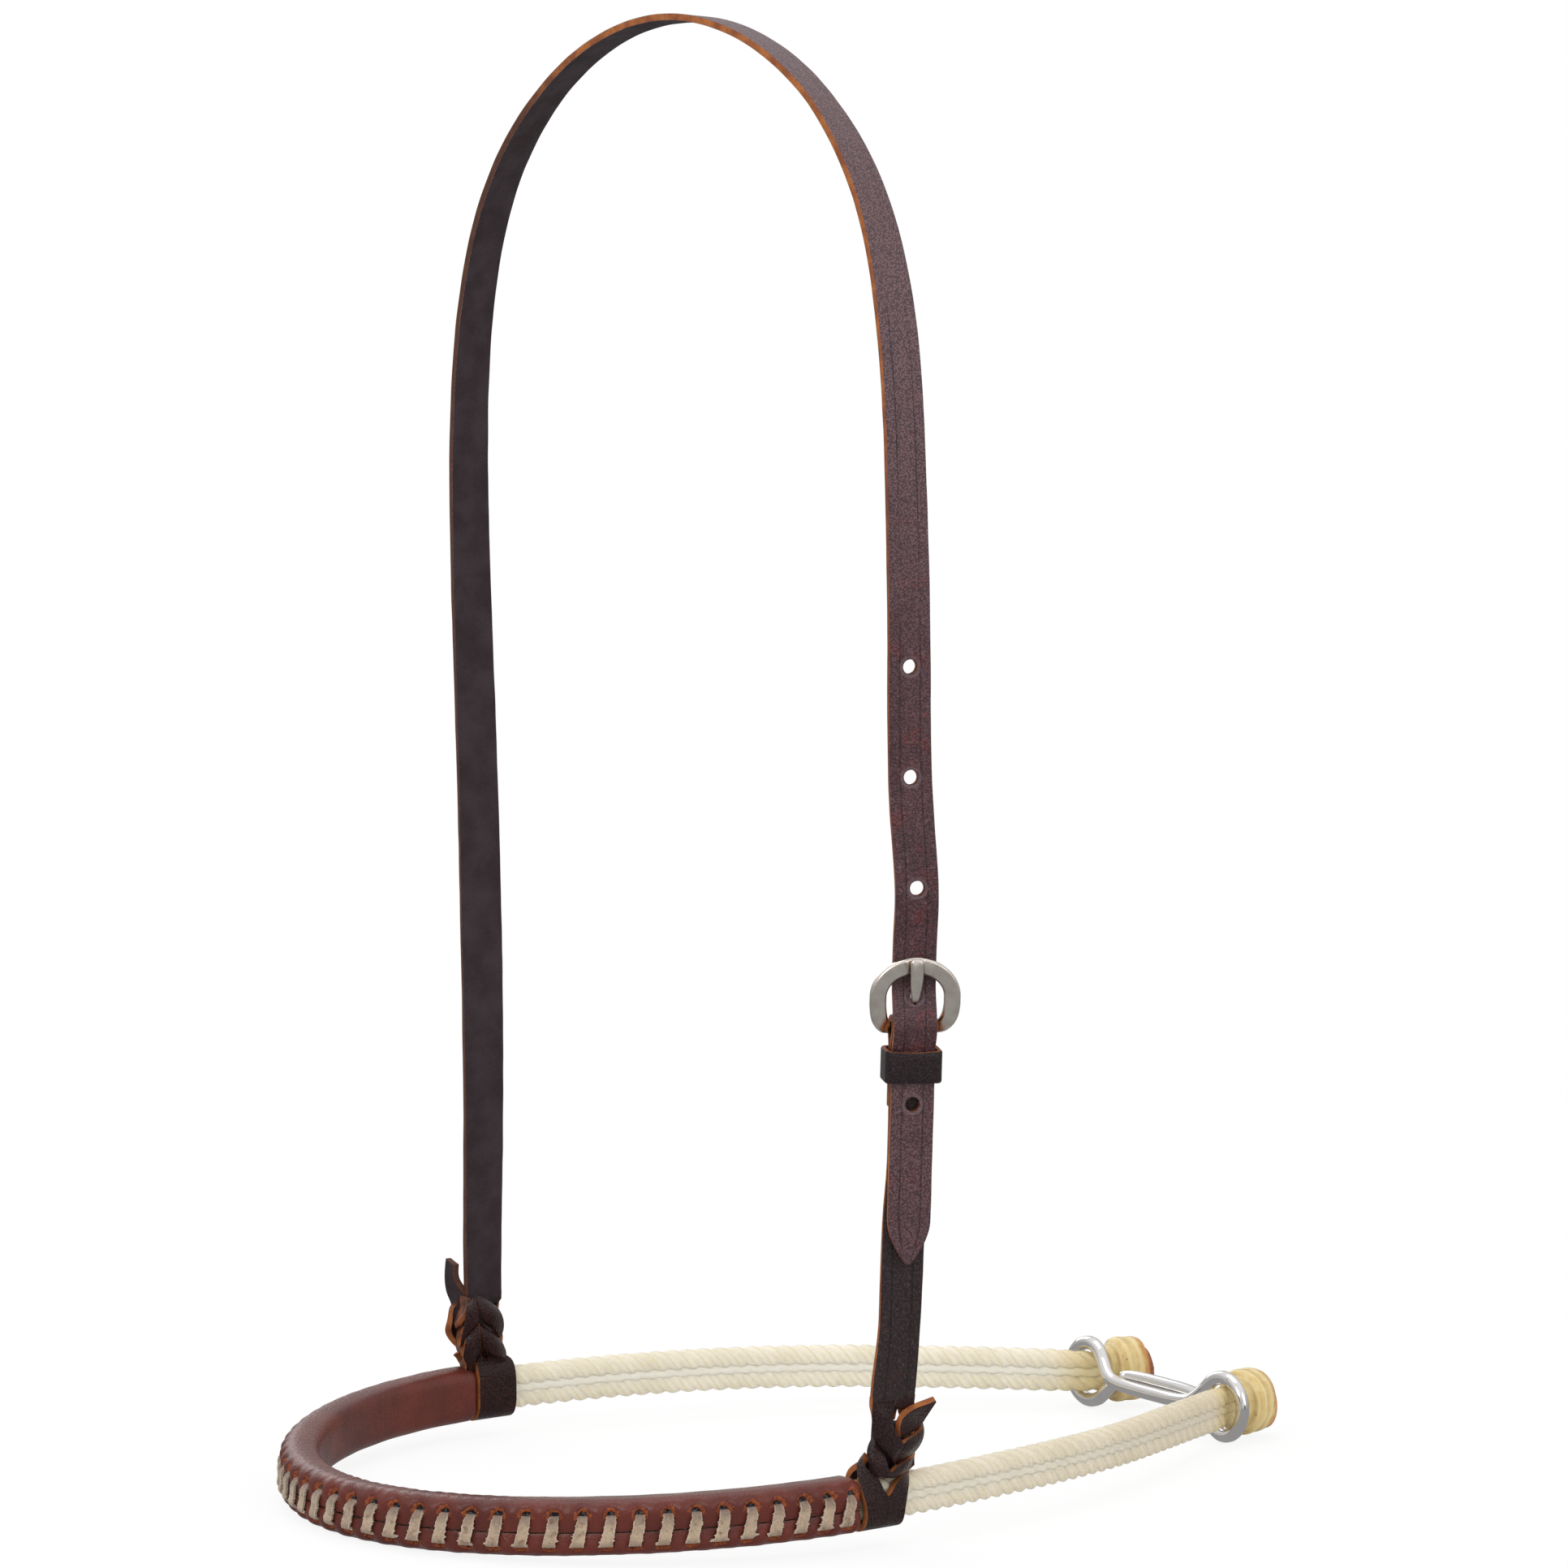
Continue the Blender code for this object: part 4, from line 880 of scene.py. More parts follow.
def lay_rope(name, level, phase, node):
    """One rope at a level above or below the line midway between the two."""
    pressed_marks = []

    def place_at(around, along):
        distance = (along * 2 - 1) * ROPE_HALF
        middle, ahead, outward, up = noseband.frame(distance)
        angle = 2 * math.pi * (around + distance / ROPE_LAY + phase)
        reach = strand_reach(around) * (1 + ROPE_UNEVEN * ripple((distance, 0.0, level), 5.0))
        towards = max(0.0, -math.cos(angle) * math.copysign(1.0, level))
        reach += (ROPE_RADIUS - reach) * PRESSED_SMOOTH * towards**2
        if towards > 0.0:
            reach /= (towards**SQUARENESS + abs(math.sin(angle)) ** SQUARENESS) ** (1 / SQUARENESS)
        before_eye = noseband.middle - abs(distance)
        reach *= 1 - EYE_SQUEEZE * ease((SQUEEZE_BEFORE_EYE - before_eye) / SQUEEZE_RUN)
        pressed_marks.append(towards)
        return middle + up * (level + reach * math.cos(angle)) + outward * reach * math.sin(angle)

    rope = laid_grid(name, ROPE_COLUMNS, ROPE_RINGS, place_at)
    paint(rope, "pressed", pressed_marks)
    scale_map(rope, 1.0, 2 * ROPE_HALF)
    close_tube(rope)
    give(rope, waxed)
    finish_piece(rope, "root", [node], ROUND_SMOOTH_DEG)


lay_rope("upper_rope_strands", ROPE_SPACING / 2, 0.0, "upper_rope")
lay_rope("lower_rope_strands", -ROPE_SPACING / 2, LOWER_ROPE_PHASE, "lower_rope")

# %% [markdown]
# Between the two ropes the waxed strands are pressed flat against each other, so the photograph
# shows hardly any groove there. A flat core with the strands' own ridges fills the groove.

# %% Strands pressed together
PRESSED_OUT = 3.0
PRESSED_HALF_HEIGHT = 1.9
PRESSED_SQUARE = 0.7
PRESSED_RIDGE = 0.22
PRESSED_SLANT = 0.25
PRESSED_SHORTER = 0.5
CORE_PAINTED_LIGHT = 0.7


def pressed_at(around, along):
    distance = (along * 2 - 1) * (ROPE_HALF - PRESSED_SHORTER)
    middle, ahead, outward, up = noseband.frame(distance)
    angle = 2 * math.pi * around
    level = swollen(math.sin(angle), PRESSED_SQUARE) * PRESSED_HALF_HEIGHT
    out_share = swollen(math.cos(angle), PRESSED_SQUARE)
    slant = PRESSED_SLANT * level * math.copysign(1.0, out_share)
    ridge = math.cos(2 * math.pi * (3 * distance / ROPE_LAY + slant))
    return middle + up * level + outward * out_share * (PRESSED_OUT + PRESSED_RIDGE * ridge)


pressed_core = laid_grid("pressed_strands", 20, ROPE_RINGS, pressed_at)
scale_map(pressed_core, 1.0, 2 * ROPE_HALF)
# The core carries the pressed mark, so it is painted lighter like the pressed sides, to fill the shade
# between the ropes.
paint(pressed_core, "pressed", [CORE_PAINTED_LIGHT] * len(pressed_core.data.vertices))
close_tube(pressed_core)
give(pressed_core, waxed)
finish_piece(pressed_core, "root", (), ROUND_SMOOTH_DEG)

# %% [markdown]
# ## Melted ends
# Behind each eye the two ropes were melted together into a knob, so that they can't slip out.
# The strands still show as curved ridges. A tube that closes to a point at its far end has the
# right form, and a few slow waves keep it from looking turned on a lathe.

# %% Melted knobs
EYE_WIRE_RADIUS = 2.1
END_START = 4.1
END_LENGTH = EYE_WIRE_RADIUS + 18.5 - END_START
END_SQUARE = 0.86
END_TILT = 1.2
END_ROWS_CROWD = 1.5
END_FULLNESS = 0.985
END_UNEVEN = 0.5
SLOW_WAVE = 0.02
RIDGE_HEIGHT = 0.03
RIDGE_PACE = 11.0
RIDGE_SLANT = 1.3
RIDGE_WAVER = 0.4
RIDGES_FADE_IN = 2.5
END_PROFILE = [
    (0.0, 3.2, 5.6), (0.07, 5.2, 7.4), (0.2, 7.1, 9.0), (0.42, 8.2, 9.8), (0.62, 8.0, 9.6),
    (0.78, 7.2, 8.7), (0.9, 5.4, 6.6), (0.97, 3.0, 3.8), (1.0, 0.02, 0.02),
]
end_profile = natural_spline(END_PROFILE, 400)


def melt_end(name, side, node):
    """A knob behind one eye; the side is 1 for the near one and -1 for the far one."""
    middle = noseband.at(side * noseband.middle)
    away = noseband.past_eye(side)
    across = np.cross(away, UP)

    def place_at(around, along):
        share = 1 - (1 - along) ** END_ROWS_CROWD
        wide, tall = (np.interp(share, end_profile[:, 0], end_profile[:, column]) for column in (1, 2))
        angle = 2 * math.pi * around
        ridge_at = share * RIDGE_PACE + math.sin(angle) * RIDGE_SLANT + RIDGE_WAVER * math.cos(angle * 2)
        swell = END_FULLNESS + SLOW_WAVE * math.sin(angle * 3 + share * 4.0)
        swell += RIDGE_HEIGHT * abs(math.sin(ridge_at)) * clamp(share * RIDGES_FADE_IN)
        wide_part = swollen(math.cos(angle), END_SQUARE) * wide * swell
        tall_part = swollen(math.sin(angle), END_SQUARE) * tall * swell
        reach = END_START + END_LENGTH * share - END_TILT * math.sin(angle) * share * share
        point = middle + away * reach + across * wide_part + UP * tall_part
        return point + away * END_UNEVEN * ripple(point, 4.0, side) * share

    knob = laid_grid(name, 56, 40, place_at)
    scale_map(knob, 1.0, END_LENGTH)
    close_tube(knob)
    give(knob, scorched)
    finish_piece(knob, "root", [node], ROUND_SMOOTH_DEG)


melt_end("near_melted_end", 1, "near_rope_end")
melt_end("far_melted_end", -1, "far_rope_end")

# %% [markdown]
# ## Steel
# The chin link is polished nearly to a mirror and the buckle is satin. Steel takes its look
# from what it reflects, so the finish is mostly a metallic base with a little unevenness in
# its roughness, plus very fine scratches.

# %% Polished and satin steel
SCRATCH_DEPTH = 0.004

mirror = Finish("polished_wire", Metallic=1.0)
smears = mirror.noise(0.25, detail=3.0)
hairlines = mirror.noise(1.0, mirror.surface.stretched((0.4, 9.0, 9.0)), 2.0)
mirror_colour = mirror.coats((0.86, 0.84, 0.83), (smears, (0.74, 0.72, 0.71)))
mirror.wear(mirror_colour, smears * 0.1 + 0.05, hairlines * SCRATCH_DEPTH)

satin = Finish("satin_steel", Metallic=1.0)
satin_smears = satin.noise(0.3, detail=4.0)
satin_hairs = satin.noise(1.0, satin.surface.stretched((3.0, 3.0, 14.0)), 2.0)
satin_colour = satin.coats((0.80, 0.735, 0.67), (satin_smears.step(0.3, 0.75), (0.64, 0.575, 0.51)))
satin.wear(satin_colour, satin_smears * 0.16 + satin_hairs * 0.1 + 0.12, satin_hairs * SCRATCH_DEPTH)

# %% [markdown]
# ## Chin link
# One wire is bent into an eye at each end, crosses at both necks and closes on itself. This is
# drawn as a bevelled curve and then turned into a mesh, as one would by hand, because the wire
# has the same round section everywhere.

# %% The wire's middle line
EYE_RADIUS = 8.85
LINK_SPREAD = 1.3
LINK_EYE_SET = 1.5
LINK_NECK = [(13.15, -1.2), (6.65, -0.6), (2.65, 1.0)]
LINK_DEPTH = EYE_WIRE_RADIUS + 0.15
WIRE_SPANS = 9


def closed_line(points, spans):
    """A smooth closed line through the given points."""
    knots = [np.array(point, dtype=float) for point in points]
    line = []
    for index in range(len(knots)):
        before, start, end, after = (knots[(index + shift) % len(knots)] for shift in (-1, 0, 1, 2))
        for step in range(spans):
            share = step / spans
            first = 2 * start + (end - before) * share
            second = (2 * before - 5 * start + 4 * end - after) * share**2
            third = (3 * start - before - 3 * end + after) * share**3
            line.append(0.5 * (first + second + third))
    return line


half_wire = [(0.0, -LINK_DEPTH, -LINK_SPREAD)]
half_wire += [(EYE_HALF_SPACING - EYE_RADIUS - reach, -LINK_DEPTH, height) for reach, height in LINK_NECK]
for degrees in range(150, -151, -30):
    angle = math.radians(degrees)
    aside = -LINK_EYE_SET * max(0.0, -math.cos(angle)) ** 2 * math.copysign(1.0, degrees)
    half_wire.append((EYE_HALF_SPACING + EYE_RADIUS * math.cos(angle), aside, EYE_RADIUS * math.sin(angle)))
half_wire += [(across, -behind, -height) for across, behind, height in reversed(half_wire[1:4])]
half_wire.append((0.0, LINK_DEPTH, LINK_SPREAD))
other_half = [(-across, behind, height) for across, behind, height in reversed(half_wire[1:-1])]
wire_line = closed_line(half_wire + other_half, WIRE_SPANS)
print("wire length in mm", round(float(reach_along(np.array(wire_line))[-1])))

# %% Wire link
wire_data = bpy.data.curves.new("chin_link_wire", "CURVE")
wire_data.dimensions = "3D"
wire_data.bevel_depth = EYE_WIRE_RADIUS * MM
wire_data.bevel_resolution = 7
wire_spline = wire_data.splines.new("POLY")
wire_spline.points.add(len(wire_line) - 1)
wire_spline.use_cyclic_u = True
for handle, point in zip(wire_spline.points, wire_line):
    handle.co = (*((point + (0.0, EYE_BEHIND_NOSE, EYE_LIFT)) * MM), 1.0)
link = bpy.data.objects.new("polished_chin_link", wire_data)
bpy.context.scene.collection.objects.link(link)
pick(link)
bpy.ops.object.convert(target="MESH")
link = bpy.context.object
link.name = "polished_chin_link"
give(link, mirror)
finish_piece(link, "link", ["chin_link"], ROUND_SMOOTH_DEG)

# %% [markdown]
# ## Cover leather
# The sleeve is smooth oiled chestnut leather. It has a fine grain, slow changes of colour, and
# lace holes in a torn orange rim, whose dark inside is painted shade; the sleeve carries the holes
# as a painted attribute. Its inner wall is gathered into streaks where it bends round the nose,
# and the streaks are painted pale for the sheen on them.

# %% Chestnut finish
SLEEVE_HALF = 158.9
INNER_WALL_ON_MAP = 24.2

chestnut = Finish("chestnut_leather", Specular_IOR_Level=0.32)
in_hole = chestnut.painted("hole")
fine_grain = chestnut.pebble(1.1)
pores = chestnut.noise(3.2, detail=2.0)
clouds = chestnut.noise(0.07, detail=4.0)
wrinkles = chestnut.noise(0.55, detail=5.0, roughness=0.65)
torn = chestnut.noise(1.5, detail=3.0)
rim_of_hole = in_hole.step(0.02, 0.2) * (1 - in_hole.step(0.66, 0.9))
# The dark inside of each hole is painted shade, near black with slate-grey patches.
deep = chestnut.blend(torn.step(0.5, 0.62), (0.012, 0.010, 0.011), (0.10, 0.11, 0.13))
around_sleeve = chestnut.own_map().part(0)
along_sleeve = chestnut.own_map().part(1)
on_inner_wall = (around_sleeve - INNER_WALL_ON_MAP).size().step(6.0, 3.0)
gathered = on_inner_wall * (along_sleeve - SLEEVE_HALF).size().step(85.0, 45.0)
streaks = chestnut.noise(1.0, chestnut.flat_place(around_sleeve * 0.05, along_sleeve * 0.75), 3.0)
chestnut_colour = chestnut.coats(
    (0.128, 0.025, 0.016),
    (clouds.step(0.3, 0.7), (0.088, 0.018, 0.013)),
    (pores.step(0.62, 0.8) * 0.35, (0.19, 0.070, 0.052)),
    (rim_of_hole * torn.step(0.35, 0.55), (0.33, 0.080, 0.020)),
    (in_hole.step(0.72, 0.9), deep),
    # Pale streaks on the inner wall's folds are painted sheen; the folds themselves are relief.
    (streaks.step(0.45, 0.7) * gathered * 0.55, (0.30, 0.17, 0.15)),
)
chestnut_gloss = clouds * 0.12 + fine_grain * 0.08 + 0.17 + rim_of_hole * 0.4
grain_relief = fine_grain * -0.06 + pores * 0.04 + wrinkles * 0.24 + torn * rim_of_hole * 0.35
chestnut.wear(chestnut_colour, chestnut_gloss, grain_relief + streaks * gathered * 0.8)

# %% [markdown]
# A flesh side and a cut edge are plain naps: one noise gives both the colour and the relief.


# %% The sleeve's flesh side and cut edge
def nap_finish(name, roughness, specular, scale, detail, dark, light, height, low=0.0, high=0.0):
    """Rough leather between two colours; the noise is sharpened where low and high are given."""
    finish = Finish(name, Roughness=roughness, Specular_IOR_Level=specular)
    nap = finish.noise(scale, detail=detail)
    share = nap.step(low, high) if high else nap
    finish.wear(finish.coats(dark, (share, light)), None, nap * height)
    return finish


CHESTNUT_SIDES = [
    chestnut,
    nap_finish("chestnut_flesh", 0.9, 0.2, 2.0, 4.0, (0.16, 0.07, 0.035), (0.26, 0.12, 0.06), 0.15),
    nap_finish("chestnut_cut_edge", 0.8, 0.2, 1.6, 4.0, (0.10, 0.035, 0.02), (0.20, 0.07, 0.03), 0.2),
]

# %% [markdown]
# ## Nose cover
# The sleeve is one sheet bent round both ropes, with its edges butted along the outer face.
# The lace draws it in at every hole, so it swells between the stitches. The bend at the nose
# wrinkles across the top. All of this is laid into one fine grid by moving its corners along
# the surface's own direction, finer on the outer face than behind.

# %% The sleeve's plain section
SLEEVE_OUT = 6.0
SLEEVE_IN = 4.9
SLEEVE_CORNER = 3.9
SEAM_LEVEL = -1.0
SEAM_HALF_GAP = 0.2
OUTER_CORNER_STEPS = 10
INNER_CORNER_STEPS = 5


def sleeve_outline():
    """From the seam's upper lip round to its lower lip: out, up, and outward direction."""
    flat_end = COVER_HALF_HEIGHT - SLEEVE_CORNER
    upper = []
    outer_corner = (SLEEVE_OUT - SLEEVE_CORNER, 0.0, OUTER_CORNER_STEPS)
    inner_corner = (-SLEEVE_IN + SLEEVE_CORNER, 90.0, INNER_CORNER_STEPS)
    for out, start, steps in (outer_corner, inner_corner):
        for step in range(1, steps + 1):
            angle = math.radians(start + 90.0 * step / steps)
            direction = np.array((math.cos(angle), math.sin(angle)))
            upper.append((*((out, flat_end) + SLEEVE_CORNER * direction), *direction))
    upper += [(-SLEEVE_IN, height, -1.0, 0.0) for height in (2.9, 1.45)]
    lower = [(out, -up, out_way, -up_way) for out, up, out_way, up_way in reversed(upper)]
    above_seam = [(SLEEVE_OUT, up, 1.0, 0.0) for up in np.linspace(SEAM_LEVEL + SEAM_HALF_GAP, flat_end, 12)]
    below_seam = [(SLEEVE_OUT, up, 1.0, 0.0) for up in np.linspace(-flat_end, SEAM_LEVEL - SEAM_HALF_GAP, 8)]
    return above_seam + upper + [(-SLEEVE_IN, 0.0, -1.0, 0.0)] + lower + below_seam


SLEEVE_SECTION = sleeve_outline()
print("points round the sleeve", len(SLEEVE_SECTION))

# %% How the lace and the bend shape the sleeve
LACE_PITCH = 7.75
LACE_COUNT = 41
HOLES_ABOVE = 4.2
HOLES_BELOW = -5.75
UPPER_HOLE_ASIDE = 0.75
LOWER_HOLE_ASIDE = -0.8
SWELL_BETWEEN_STITCHES = 0.75
DRAWN_IN = 0.55
SEAM_DIP = 0.25
SEAM_DIP_WIDTH = 0.9
PILLOW_WIDTH = 2.8
PUCKER_WIDTH = 1.9
UPPER_HOLE = (1.85, 1.65)
UPPER_HOLE_TAPER = 0.25
LOWER_HOLE = (1.6, 1.0)
HOLE_RAGGED = 0.42
HOLE_FLOOR = 0.5
HOLE_RIM = 0.7
HOLE_DEPTH = 1.2
BEND_REACH = 62.0
WRINKLE_PITCH = 4.1
WRINKLE_HEIGHT = 0.13
FOLD_PITCH = 4.6
FOLD_HEIGHT = 0.11


def bump(value, width):
    """A soft hill that is 1 in the middle and falls off over the width."""
    return math.exp(-((value / width) ** 2))


def laced_swell(along, height, outer):
    """Swelling between the stitches, and the torn holes."""
    upper = height > SEAM_LEVEL
    aside = ((along / LACE_PITCH + 0.5) % 1.0 - 0.5) * LACE_PITCH
    aside -= UPPER_HOLE_ASIDE if upper else LOWER_HOLE_ASIDE
    from_hole = height - (HOLES_ABOVE if upper else HOLES_BELOW)
    pillow = 0.5 - 0.5 * math.cos(2 * math.pi * aside / LACE_PITCH)
    swell = SWELL_BETWEEN_STITCHES * pillow * bump(from_hole, PILLOW_WIDTH) * outer
    swell -= DRAWN_IN * bump(aside, PUCKER_WIDTH) * bump(from_hole, PUCKER_WIDTH)
    swell -= SEAM_DIP * bump(height - SEAM_LEVEL, SEAM_DIP_WIDTH)
    wide, tall = UPPER_HOLE if upper else LOWER_HOLE
    if upper:
        wide -= UPPER_HOLE_TAPER * from_hole
    ragged = HOLE_RAGGED * ripple((along * 2.0, height * 2.0, 0.0), 1.3)
    reach = math.hypot(aside / wide, from_hole / tall) + ragged
    hole = 1 - clamp((reach - HOLE_FLOOR) / HOLE_RIM)
    return swell - HOLE_DEPTH * hole, hole


def swell_of_sleeve(along, out_way, up_way, height):
    """How far the leather stands off its plain section, and how deep in a lace hole it is."""
    swell, hole = 0.0, 0.0
    if out_way > 0.2 and abs(along) < (LACE_COUNT / 2) * LACE_PITCH:
        swell, hole = laced_swell(along, height, out_way)
    bend = math.exp(-(along / BEND_REACH) ** 4)
    wrinkle = math.sin(2 * math.pi * (along + 1.5 * ripple((along, 0.0, 3.0), 9.0)) / WRINKLE_PITCH)
    uneven = 0.6 + 0.4 * ripple((along, height, 0.0), 6.0)
    swell += WRINKLE_HEIGHT * wrinkle * max(0.0, up_way) ** 0.5 * bend * uneven
    folds = math.sin(2 * math.pi * (along + 2.0 * ripple((along, 0.0, 8.0), 7.0)) / FOLD_PITCH)
    swell += FOLD_HEIGHT * folds * max(0.0, -out_way) * bend
    return swell, hole


print("stitches", LACE_COUNT, "over mm", LACE_COUNT * LACE_PITCH)

# %% Laced sleeve
SLEEVE_WALL = 1.5
SLEEVE_RINGS = 470
SLEEVE_ROUND = 45.0
FLARED_MOUTH = 8.0
MOUTH_TURNED_IN = 1.5
MOUTH_TURN = 2.6
MOUTH_SLANT = 0.15
MOUTH_LONGER = 0.3
SLEEVE_UNEVEN = 0.10
hole_marks = []


def sleeve_at(around, along):
    out, up_level, out_way, up_way = SLEEVE_SECTION[round(around * (len(SLEEVE_SECTION) - 1))]
    distance = SLEEVE_HALF * (2 * along - 1)
    near_share = max(0.0, 1 - (SLEEVE_HALF - distance) / FLARED_MOUTH)
    distance += (MOUTH_SLANT * up_level + MOUTH_LONGER) * near_share
    middle, ahead, outward, up = noseband.frame(distance)
    swell, hole = swell_of_sleeve(distance, out_way, up_way, up_level)
    swell += SLEEVE_UNEVEN * ripple((distance, out * 2, up_level * 2), 7.0)
    from_end = SLEEVE_HALF - abs(distance)
    swell -= MOUTH_TURNED_IN * max(0.0, 1 - from_end / MOUTH_TURN) ** 2
    hole_marks.append(hole)
    return middle + outward * (out + out_way * swell) + up * (up_level + up_way * swell)


sleeve = laid_grid("sleeve_leather", len(SLEEVE_SECTION) - 1, SLEEVE_RINGS, sleeve_at)
paint(sleeve, "hole", hole_marks)
scale_map(sleeve, SLEEVE_ROUND, 2 * SLEEVE_HALF)
give(sleeve, *CHESTNUT_SIDES)
face_towards(sleeve, noseband.frame(0.0)[2])
thicken(sleeve, SLEEVE_WALL, -1.0, 0.3)
finish_piece(sleeve, "root", ["nose_cover"], 60.0)

# %% [markdown]
# ## Lace
# One long strip of suede goes down across the seam outside and slants to the next pair of
# holes inside. Its edges are ragged, and it is paler on them, where the nap stands up. Where it
# goes down into the holes it is painted darker, for the shade in them.

# %% Suede finish
LACE_WIDTH = 2.9
LACE_THICKNESS = 0.8

suede = Finish("suede", Roughness=0.95, Specular_IOR_Level=0.15, Sheen_Weight=0.25, Sheen_Roughness=0.5)
suede_nap = suede.noise(1.6, detail=5.0, roughness=0.7)
suede_edge = (suede.own_map().part(0) - LACE_WIDTH / 2).size().step(1.05, 1.6)
suede_colour = suede.coats(
    (0.45, 0.335, 0.230),
    (suede.noise(0.18, detail=3.0).step(0.3, 0.7), (0.32, 0.230, 0.165)),
    (suede_nap.step(0.45, 0.7) * 0.6, (0.60, 0.49, 0.36)),
    # Painted shade where the lace goes down into a hole.
    (suede.painted("tucked") * 0.7, (0.19, 0.135, 0.11)),
    (suede.noise(0.5, detail=4.0).step(0.52, 0.70) * 0.7, (0.15, 0.085, 0.055)),
    (suede_edge * 0.65, (0.66, 0.56, 0.43)),
)
suede.wear(suede_colour, None, suede_nap * 0.30)

# %% The lace's run
LACE_OUT = 6.75
LACE_INSIDE = 4.1
LAST_STITCH_SHIFT = -1.0
STITCH = [
    (0.50, 2.9, LACE_INSIDE), (0.78, 3.35, 5.0), (0.74, 2.75, LACE_OUT - 0.55),
    (0.50, 1.4, LACE_OUT + 0.10), (0.02, -0.9, LACE_OUT - 0.04), (-0.48, -3.0, LACE_OUT + 0.12),
    (-0.82, -4.35, LACE_OUT - 0.05), (-0.88, -4.85, 5.5), (-0.60, -4.5, LACE_INSIDE),
]
lace_points = []
for index in range(LACE_COUNT):
    place = (index - (LACE_COUNT - 1) / 2) * LACE_PITCH
    if index == LACE_COUNT - 1:
        place += LAST_STITCH_SHIFT
    lace_points += [(place + along, level, out) for along, level, out in STITCH]
lace_route = Route(lace_points, 9000)
print("lace length in mm", round(float(lace_route.length)))

# %% Suede lace
LACE_COLUMNS = 7
LACE_ROWS_PER_STITCH = 72
LACE_CROWN = 0.22
LACE_NARROWED = 0.20
LACE_WIDENED = 0.10
EDGE_RAGGED = 0.75
EDGE_RAGGED_FINELY = 0.45
EDGE_FRAYED = 2.6
FRAYS_ABOVE = 0.18
tucked_marks = []


def lace_at(around, along):
    distance = lace_route.length * along
    place, level, out = lace_route.at(distance)
    across = around * 2 - 1
    width_share = 1 - LACE_NARROWED * ease((level - 1.2) / 2.0) + LACE_WIDENED * ease(-level / 4.0)
    ragged = EDGE_RAGGED * ripple((distance * 1.3, around * 3.0, 0.0), 1.0)
    ragged += EDGE_RAGGED_FINELY * ripple((distance * 3.3, around, 4.0), 1.0)
    frayed = EDGE_FRAYED * max(0.0, ripple((distance * 2.3, around * 5.0, 9.0), 1.0) - FRAYS_ABOVE)
    ragged += frayed * (0.35 + max(0.0, -level) / 4.0)
    half = across * LACE_WIDTH / 2 * width_share
    half += math.copysign(abs(across) ** 3 * ragged, around - 0.5)
    crown = LACE_CROWN * (1 - across**2) if out > 6.0 else 0.0
    tucked_marks.append(max(ease((level - 0.2) / 2.6), clamp((-level - 3.0) / 2.0)))
    middle, ahead, outward, up = noseband.frame(place)
    return middle + ahead * half + up * level + outward * (out + crown)


lacing = laid_grid("suede_lacing", LACE_COLUMNS, LACE_ROWS_PER_STITCH * LACE_COUNT, lace_at)
paint(lacing, "tucked", tucked_marks)
scale_map(lacing, LACE_WIDTH, lace_route.length)
give(lacing, suede)
thicken(lacing, LACE_THICKNESS, 0.0)
finish_piece(lacing, "root", ["cover_lace"], 60.0)

# %% [markdown]
# ## Strap leather
# Bridle leather is dyed through its grain side only. Its grain is dark and pebbled, with a
# pressed line along each edge and pale rings round the punched holes, which follow the strap's
# own map. The leather is dry and worn on the crown strap, oiled on the cheek strap and the
# keeper, and dark and shiny in the knots, so one function takes a set of tones for each.

# %% Tones of the grain
STRAP_WIDTH = 12.4
STRAP_THICKNESS = 2.0
HOLE_PITCH = 31.5
CREASE_INSET = 3.15


def tones(*values):
    """What one leather's grain is made of: its gloss, and its colours from the ground up."""
    return dict(zip(("shine", "dullness", "base", "pale", "red", "grey", "dark", "painted_sheen"), values))


WORN = tones(
    0.5, 0.24, (0.070, 0.021, 0.028), (0.106, 0.038, 0.046), (0.150, 0.022, 0.020),
    (0.165, 0.112, 0.124), (0.014, 0.005, 0.007), (0.190, 0.108, 0.120),
)
OILED = tones(
    0.42, 0.22, (0.024, 0.0088, 0.0090), (0.030, 0.0115, 0.0110), (0.055, 0.010, 0.008),
    (0.085, 0.055, 0.058), (0.006, 0.003, 0.003), (0.045, 0.030, 0.034),
)
KNOTTED = tones(
    0.24, 0.04, (0.0205, 0.0048, 0.0040), (0.029, 0.0075, 0.0060), (0.054, 0.009, 0.006),
    (0.042, 0.015, 0.014), (0.005, 0.002, 0.002), (0.045, 0.030, 0.034),
)
RUNNER = tones(
    0.3, 0.22, (0.026, 0.0092, 0.0105), (0.023, 0.010, 0.011), (0.028, 0.008, 0.007),
    (0.040, 0.032, 0.036), (0.005, 0.003, 0.004), (0.020, 0.015, 0.018),
)
print("base tones", WORN["base"], OILED["base"], KNOTTED["base"], RUNNER["base"])
